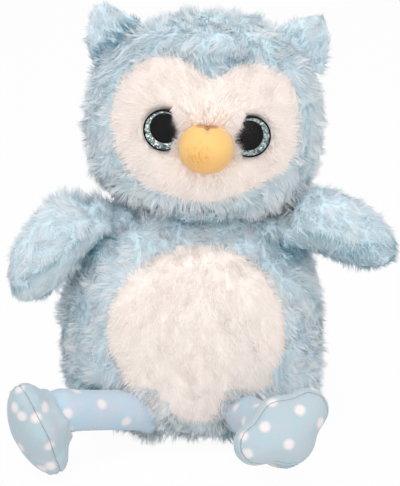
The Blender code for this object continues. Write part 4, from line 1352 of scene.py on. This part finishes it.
# %% Dress the backings
dress(torso_skin, BLUE_KNIT, "trunk", "torso_cover", slot="blue_plush")
dress(belly_patch, WHITE_KNIT, "trunk", "belly_panel", slot="white_plush")
dress(head_skin, BLUE_KNIT, "head", "head_cover", slot="blue_plush")
dress(neck_skin, BLUE_KNIT, "head", slot="blue_plush")
dress(face_patch, WHITE_KNIT, "head", "face_panel", slot="white_plush")
padded = [torso_skin, belly_patch, head_skin, face_patch, neck_skin]
for name, limb in SIDES.items():
    dress(limb["wing_skin"], BLUE_KNIT, f"wing_{name}", f"wing_upper_{name}", f"wing_under_{name}",
          slot="blue_plush")
    dress(limb["ear_skin"], BLUE_KNIT, f"ear_{name}", f"ear_front_{name}", f"ear_back_{name}",
          slot="blue_plush")
    dress(limb["collar"], BLUE_KNIT, "trunk", slot="blue_plush")
    padded += [limb["wing_skin"], limb["ear_skin"], limb["collar"]]
for piece in padded:
    piece.data.shade_smooth()

# %% [markdown]
# ## Velboa
# Velboa is a knitted cloth with a pile under two millimetres long. From this far it looks matt and
# a little cloudy, with a soft rim of light. The cream dots are printed on it. A dot drawn on flat
# coordinates would smear round the limb, so each point of the mesh keeps its distance to the
# nearest dot's middle along the cloth, and the material draws a round edge from that.

# %% Dotted velboa
DOT_RADIUS = 2.8 * MM
DOT_SPACING = 14.5 * MM
DOT_PIXELS = {  # where the photograph shows dots
    "foot_left": ((19.6, 388.6), (14.4, 407.7), (21.5, 416.5), (36.0, 417.5), (45.5, 407.0),
                  (20.6, 447.0), (49.8, 446.5), (41.5, 468.5), (50.5, 466.5)),
    "leg_left": ((67.5, 414.0), (68.5, 430.0), (102.0, 404.0), (90.0, 431.0), (126.3, 422.0)),
    "foot_right": ((272.5, 402.5), (265.0, 427.0), (300.0, 410.0), (320.8, 423.3), (289.0, 444.6),
                   (247.5, 454.0), (265.8, 466.7), (243.0, 436.0)),
    "leg_right": ((258.3, 405.0), (243.3, 421.7), (252.0, 425.8)),
}


def pixel_ray(x, y):
    """The direction from the camera through a pixel of the picture."""
    across = (x - PICTURE[0] / 2) * PIXEL
    down = (y - PICTURE[1] / 2) * PIXEL
    turn = camera.rotation_euler.to_matrix()
    return (turn @ Vector((across, -down, -CAMERA_DISTANCE))).normalized()


def add_dots(piece, pixels):
    """Stores each point's distance to the nearest dot: those of the picture, then a spaced spread."""
    points = points_of(piece.data)
    tree = BVHTree.FromPolygons(points.tolist(), [tuple(face.vertices) for face in piece.data.polygons])
    middles = []
    for x, y in pixels:
        hit = tree.ray_cast(camera.location, pixel_ray(x, y))[0]
        if hit is not None:
            middles.append(np.array(hit))
    seen = len(middles)
    for k in randoms.permutation(len(points)):
        if not middles or min(np.linalg.norm(points[k] - m) for m in middles) > DOT_SPACING:
            middles.append(points[k])
    distance = np.linalg.norm(points[:, None] - np.array(middles)[None], axis=2).min(axis=1)
    stored = piece.data.attributes.new("dot", "FLOAT", "POINT")
    stored.data.foreach_set("value", distance.astype(np.float32))
    print(piece.name, "has", len(middles), "dots,", seen, "of them from the picture")


def velboa_finish(name, colour, other, dots=None):
    finish = Finish(name)
    cloud = finish.node("MapRange", {"Value": finish.noise(75, 3.0), "From Min": 0.3, "From Max": 0.7})
    shade = finish.mix(cloud, colour, other)
    nap = finish.noise(1500, 3.0, 0.65)
    brushed = finish.noise(260, 2.0)
    shade = finish.mix(nap * 0.30, shade, (0.70, 0.74, 0.78), "MULTIPLY")
    if dots:
        away = finish.node("Attribute", output="Fac", attribute_name="dot")
        ragged = away + (finish.noise(900, 1.0) - 0.5) * (0.9 * MM)
        edge = {"Value": ragged, "From Min": DOT_RADIUS - 1.1 * MM, "From Max": DOT_RADIUS + 0.8 * MM,
                "To Min": 0.9, "To Max": 0.0}
        shade = finish.mix(finish.node("MapRange", edge), shade, dots)
        beside = finish.node("Attribute", output="Fac", attribute_name="seam").math("ABSOLUTE")
        stitched = beside + finish.noise(700, 1.0) * (0.3 * MM)
        edge = {"Value": stitched, "From Min": 0.25 * MM, "From Max": 0.5 * MM, "To Min": 0.75, "To Max": 0}
        shade = finish.mix(finish.node("MapRange", edge), shade, (0.22, 0.27, 0.31))
    bump = finish.bump(nap * 0.5 + brushed, 0.0004, 0.6)
    return finish.surface(Base_Color=shade, Roughness=0.85, Sheen_Weight=0.35, Sheen_Roughness=0.4,
                          Normal=bump)


CREAM = (0.87, 0.79, 0.79)
DOTTED = {
    "leg": velboa_finish("dotted_velboa_leg", (0.47, 0.66, 0.76), (0.58, 0.63, 0.72), CREAM),
    "foot": velboa_finish("dotted_velboa_foot", (0.46, 0.59, 0.645), (0.53, 0.58, 0.62), CREAM),
}
for name, limb in SIDES.items():
    for kind, nodes in (("foot", ("foot_instep", "foot_sole")), ("leg", ("leg_cover",))):
        piece = limb[f"{kind}_skin"]
        add_dots(piece, DOT_PIXELS[f"{kind}_{name}"])
        if kind == "leg":
            away = piece.data.attributes.new("seam", "FLOAT", "POINT")
            away.data.foreach_set("value", np.ones(len(piece.data.vertices), np.float32))
        piece.data.shade_smooth()
        dress(piece, DOTTED[kind], f"{kind}_{name}", *(f"{node}_{name}" for node in nodes),
              slot="dotted_velboa")

# %% [markdown]
# ## Beak
# The beak is a small stuffed ball of yellow velboa, gathered at its top, where the two edges of its
# cloth meet in a pleat. The ball starts as a UV sphere, is shaped to the solid's own sizes, and the
# pleat is pressed into it. Its back lies inside the face.

# %% Beak
BEAK_HALF = (13.9 * MM, 13.5 * MM, 12.8 * MM)


deselect()
bpy.ops.mesh.primitive_uv_sphere_add(segments=96, ring_count=64, radius=1)
beak = bpy.context.object
beak.name = "beak_skin"
ball = points_of(beak.data)
across, ahead, up = ball[:, 0], -ball[:, 1], ball[:, 2]
pleat_and_shade = np.exp(-((across / 0.08) ** 2)) * np.clip((up - 0.72) / 0.2, 0, 1) * (ahead > -0.3)
gather = np.exp(-((across / 0.30) ** 2)) * np.clip((up - 0.6) / 0.4, 0, 1)
ball = ball * (1 - 0.11 * pleat_and_shade - 0.05 * gather)[:, None]
ball = ball * (1 + 0.018 * smooth_noise(ball, 0.7, 5))[:, None]
BEAK_MIDDLE = (BEAK_PLACE[0], head_front(*BEAK_PLACE, 0) - 2 * MM, BEAK_PLACE[1])
put_points(beak.data, moved(ball * np.array(BEAK_HALF) + np.array(BEAK_MIDDLE), HEAD))
beak.data.shade_smooth()
BRUSHED_SPOT = (-3.5 * MM, 16.0 * MM)  # where the nap of the beak is rubbed


def beak_finish():
    """Yellow velboa with painted shade, darker below, in the pleat and along the top edge, and a rubbed
    spot where the nap stands in streaks.
    """
    finish = Finish("yellow_velboa")
    middle = HEAD @ Vector((BRUSHED_SPOT[0], BEAK_MIDDLE[1] - BEAK_HALF[1], BRUSHED_SPOT[1]))
    shade = finish.mix(finish.noise(90, 3.0), (0.96, 0.61, 0.22), (0.93, 0.55, 0.18))
    # Painted shade: the beak's colour darkens towards its bottom.
    low = finish.node("SeparateXYZ", {"Vector": finish.place(tuple(HEAD @ Vector(BEAK_MIDDLE)))}, "Z")
    low = finish.node("MapRange", {"Value": low, "From Min": 3 * MM, "From Max": -12 * MM})
    shade = finish.mix(low * 0.8, shade, (0.84, 0.46, 0.15))
    off = finish.node("VectorMath", {0: finish.place(tuple(middle))}, "Value", operation="LENGTH")
    ragged = off + (finish.noise(420, 2.0) - 0.5) * (7 * MM)
    spot = finish.node("MapRange", {"Value": ragged, "From Min": 9 * MM, "From Max": 3 * MM})
    long_way = finish.place(scale=(1, 1, 4))
    streaks = finish.node("TexNoise", {"Vector": long_way, "Scale": 1100.0, "Detail": 3.0}, 0)
    lines = finish.node("MapRange", {"Value": streaks, "From Min": 0.48, "From Max": 0.66})
    shade = finish.mix(spot * lines, shade, (0.80, 0.38, 0.08))
    shade = finish.mix(spot * 0.35, shade, (0.90, 0.84, 0.74), "MULTIPLY")
    # Painted shade in the pleat and along the top edge, where the beak meets the face.
    pleat_and_shade = finish.node("Attribute", output="Fac", attribute_name="pleat_and_shade")
    shade = finish.mix(pleat_and_shade, shade, (0.42, 0.16, 0.04))
    height = streaks * 0.5 + finish.noise(1500, 3.0, 0.65)
    return finish.surface(Base_Color=shade, Roughness=0.85, Sheen_Weight=0.3, Sheen_Roughness=0.4,
                          Normal=finish.bump(height, 0.0005, 0.7))


# The painted shade of the pleat and of the top edge, stored on the points for the finish.
stored = beak.data.attributes.new("pleat_and_shade", "FLOAT", "POINT")
top_edge_shade = eased(up, 0.87, 0.94) * eased(-ahead, -0.42, -0.25) * (0.8 + 0.2 * smooth_noise(ball, 0.2, 6))
stored.data.foreach_set("value", np.clip(0.3 * pleat_and_shade + top_edge_shade, 0, 0.9).astype(np.float32))
YELLOW = beak_finish()
dress(beak, YELLOW, "head", "beak_cover", slot="yellow_velboa")
print("beak:", len(beak.data.polygons), "faces")

# %% [markdown]
# ## Eyes
# Each eye is a safety eye of plastic: a black plate with a raised pupil, a ring of glitter foil
# round the pupil, and a clear dome over both. They are turned parts, so each is a profile that
# Spin carries round the eye's axis. The dome is real glass to the renderer, so the foil is seen
# through it and the room shines in it.

# %% Turned eye parts
def spun(name, profile, place, shift, steps=96):
    """Spins a profile of (radius, height) round local Z, from the axis back to the axis. The boss in
    its middle is then moved aside by the shift, as the two eyes were pressed a little off centre."""
    mesh = bpy.data.meshes.new(name)
    mesh.from_pydata([(r * MM, 0, z * MM) for r, z in profile],
                     [(i, i + 1) for i in range(len(profile) - 1)], [])
    piece = bpy.data.objects.new(name, mesh)
    bpy.context.scene.collection.objects.link(piece)
    deselect()
    piece.select_set(True)
    bpy.context.view_layer.objects.active = piece
    bpy.ops.object.mode_set(mode="EDIT")
    bpy.ops.mesh.select_all(action="SELECT")
    bpy.ops.mesh.spin(steps=steps, angle=2 * math.pi, center=(0, 0, 0), axis=(0, 0, 1))
    bpy.ops.mesh.select_all(action="SELECT")
    bpy.ops.mesh.remove_doubles(threshold=0.00001)
    bpy.ops.mesh.normals_make_consistent(inside=False)
    bpy.ops.object.mode_set(mode="OBJECT")
    points = points_of(mesh)
    points[np.hypot(points[:, 0], points[:, 1]) < BOSS_RADIUS, :2] += shift
    put_points(mesh, points)
    mesh.transform(place)
    deselect()
    piece.select_set(True)
    bpy.ops.object.shade_smooth_by_angle(angle=math.radians(35))
    return piece


dome_profile = [(0, 3.3), (9.5, 3.3), (9.7, 3.5)]
for row in range(19):
    turn = math.pi / 2 * row / 18
    dome_profile.append((9.7 * math.cos(turn), 4.1 + 3.2 * math.sin(turn)))
PLATE_PROFILE = [(0, 0.3), (10.0, 0.3), (10.5, 0.7), (10.5, 4.5), (10.2, 4.8), (9.8, 4.5), (9.8, 2.1),
                 (7.4, 2.1), (7.4, 2.9), (7.2, 3.0), (0, 3.0)]
FOIL_PROFILE = [(7.6, 2.4), (9.6, 2.4), (9.6, 2.9), (7.6, 3.0), (7.6, 2.4)]
BOSS_RADIUS = 7.7 * MM  # the raised pupil, and the hole in the foil round it

# %% Eye finishes


def glitter_finish():
    """Foil broken into facets that each tilt their own way, so that each catches other light."""
    finish = Finish("glitter_foil")
    at = finish.place()
    facet = finish.node("TexVoronoi", {"Vector": at, "Scale": 1500.0}, "Color")
    tilt = finish.node("VectorMath", {0: facet, 1: (0.5, 0.5, 0.5)}, operation="SUBTRACT")
    tilt = finish.node("VectorMath", {0: tilt, "Scale": 0.9}, operation="SCALE")
    flat = finish.node("NewGeometry", output="Normal")
    normal = finish.node("VectorMath", {0: flat, 1: tilt}, operation="ADD")
    normal = finish.node("VectorMath", {0: normal}, operation="NORMALIZE")
    grey = finish.node("SeparateColor", {"Color": facet}, "Red")
    shade = finish.mix(grey, (0.09, 0.13, 0.14), (0.62, 0.72, 0.72))
    # The palest facets are coloured white: painted glints, on top of the light that their tilt reflects.
    shade = finish.mix(grey > 0.88, shade, (1.0, 1.0, 1.0))
    return finish.surface(Base_Color=shade, Metallic=0.8, Roughness=0.28, Normal=normal)


def plastic_finish(name, colour, other, roughness, shine):
    finish = Finish(name)
    cloud = finish.noise(220, 2.0)
    return finish.surface(Base_Color=finish.mix(cloud, colour, other), Roughness=roughness + cloud * 0.08,
                          Specular_IOR_Level=shine)


def lens_finish():
    finish = Finish("clear_lens")
    wear = finish.noise(500, 2.0)
    return finish.surface(Base_Color=(0.88, 0.90, 0.90), Roughness=0.02 + wear * 0.02,
                          Transmission_Weight=1.0, IOR=1.15, Specular_IOR_Level=0.5)


GLITTER, CLEAR = glitter_finish(), lens_finish()
BLACK = plastic_finish("black_plastic", (0.005, 0.004, 0.005), (0.009, 0.007, 0.008), 0.4, 0.06)
PALE = plastic_finish("white_plastic", (0.80, 0.80, 0.78), (0.74, 0.74, 0.71), 0.42, 0.5)

# %% Eyes in place
for name in EYES:
    place = eye_place(name)
    for kind, profile, finish, slot in (
        ("plate", PLATE_PROFILE, BLACK, "black_plastic"),
        ("foil", FOIL_PROFILE, GLITTER, "glitter_foil"),
        ("lens", dome_profile, CLEAR, "smoked_lens"),
    ):
        shift = (0, 0) if kind == "lens" else PUPIL_SHIFT[name]
        piece = spun(f"eye_{kind}_turned_{name}", profile, place, shift)
        dress(piece, finish, "head", f"eye_{kind}_{name}", slot=slot)
print("eyes in place")

# %% [markdown]
# ## Inside
# The stuffing and the washers behind the eyes are inside the toy, and their solids already have the
# right shape. They keep it and get their own finish: fibre filling is a matt white fluff.

# %% Stuffing


def fluff_finish():
    finish = Finish("fibre_filling")
    puffs = finish.noise(160, 4.0, 0.6)
    fibres = finish.noise(1400, 3.0, 0.7)
    shade = finish.mix(puffs, (0.93, 0.93, 0.91), (0.80, 0.81, 0.80))
    return finish.surface(Base_Color=shade, Roughness=0.95, Sheen_Weight=0.2,
                          Normal=finish.bump(puffs + fibres * 0.4, 0.002, 0.8))


FLUFF = fluff_finish()
for name, node in frame["nodes"].items():
    if "stuffing" in name or "plug" in name:
        node.material_slots[0].material = FLUFF
    elif "washer" in name:
        node.material_slots[0].material = PALE
print("inside dressed")
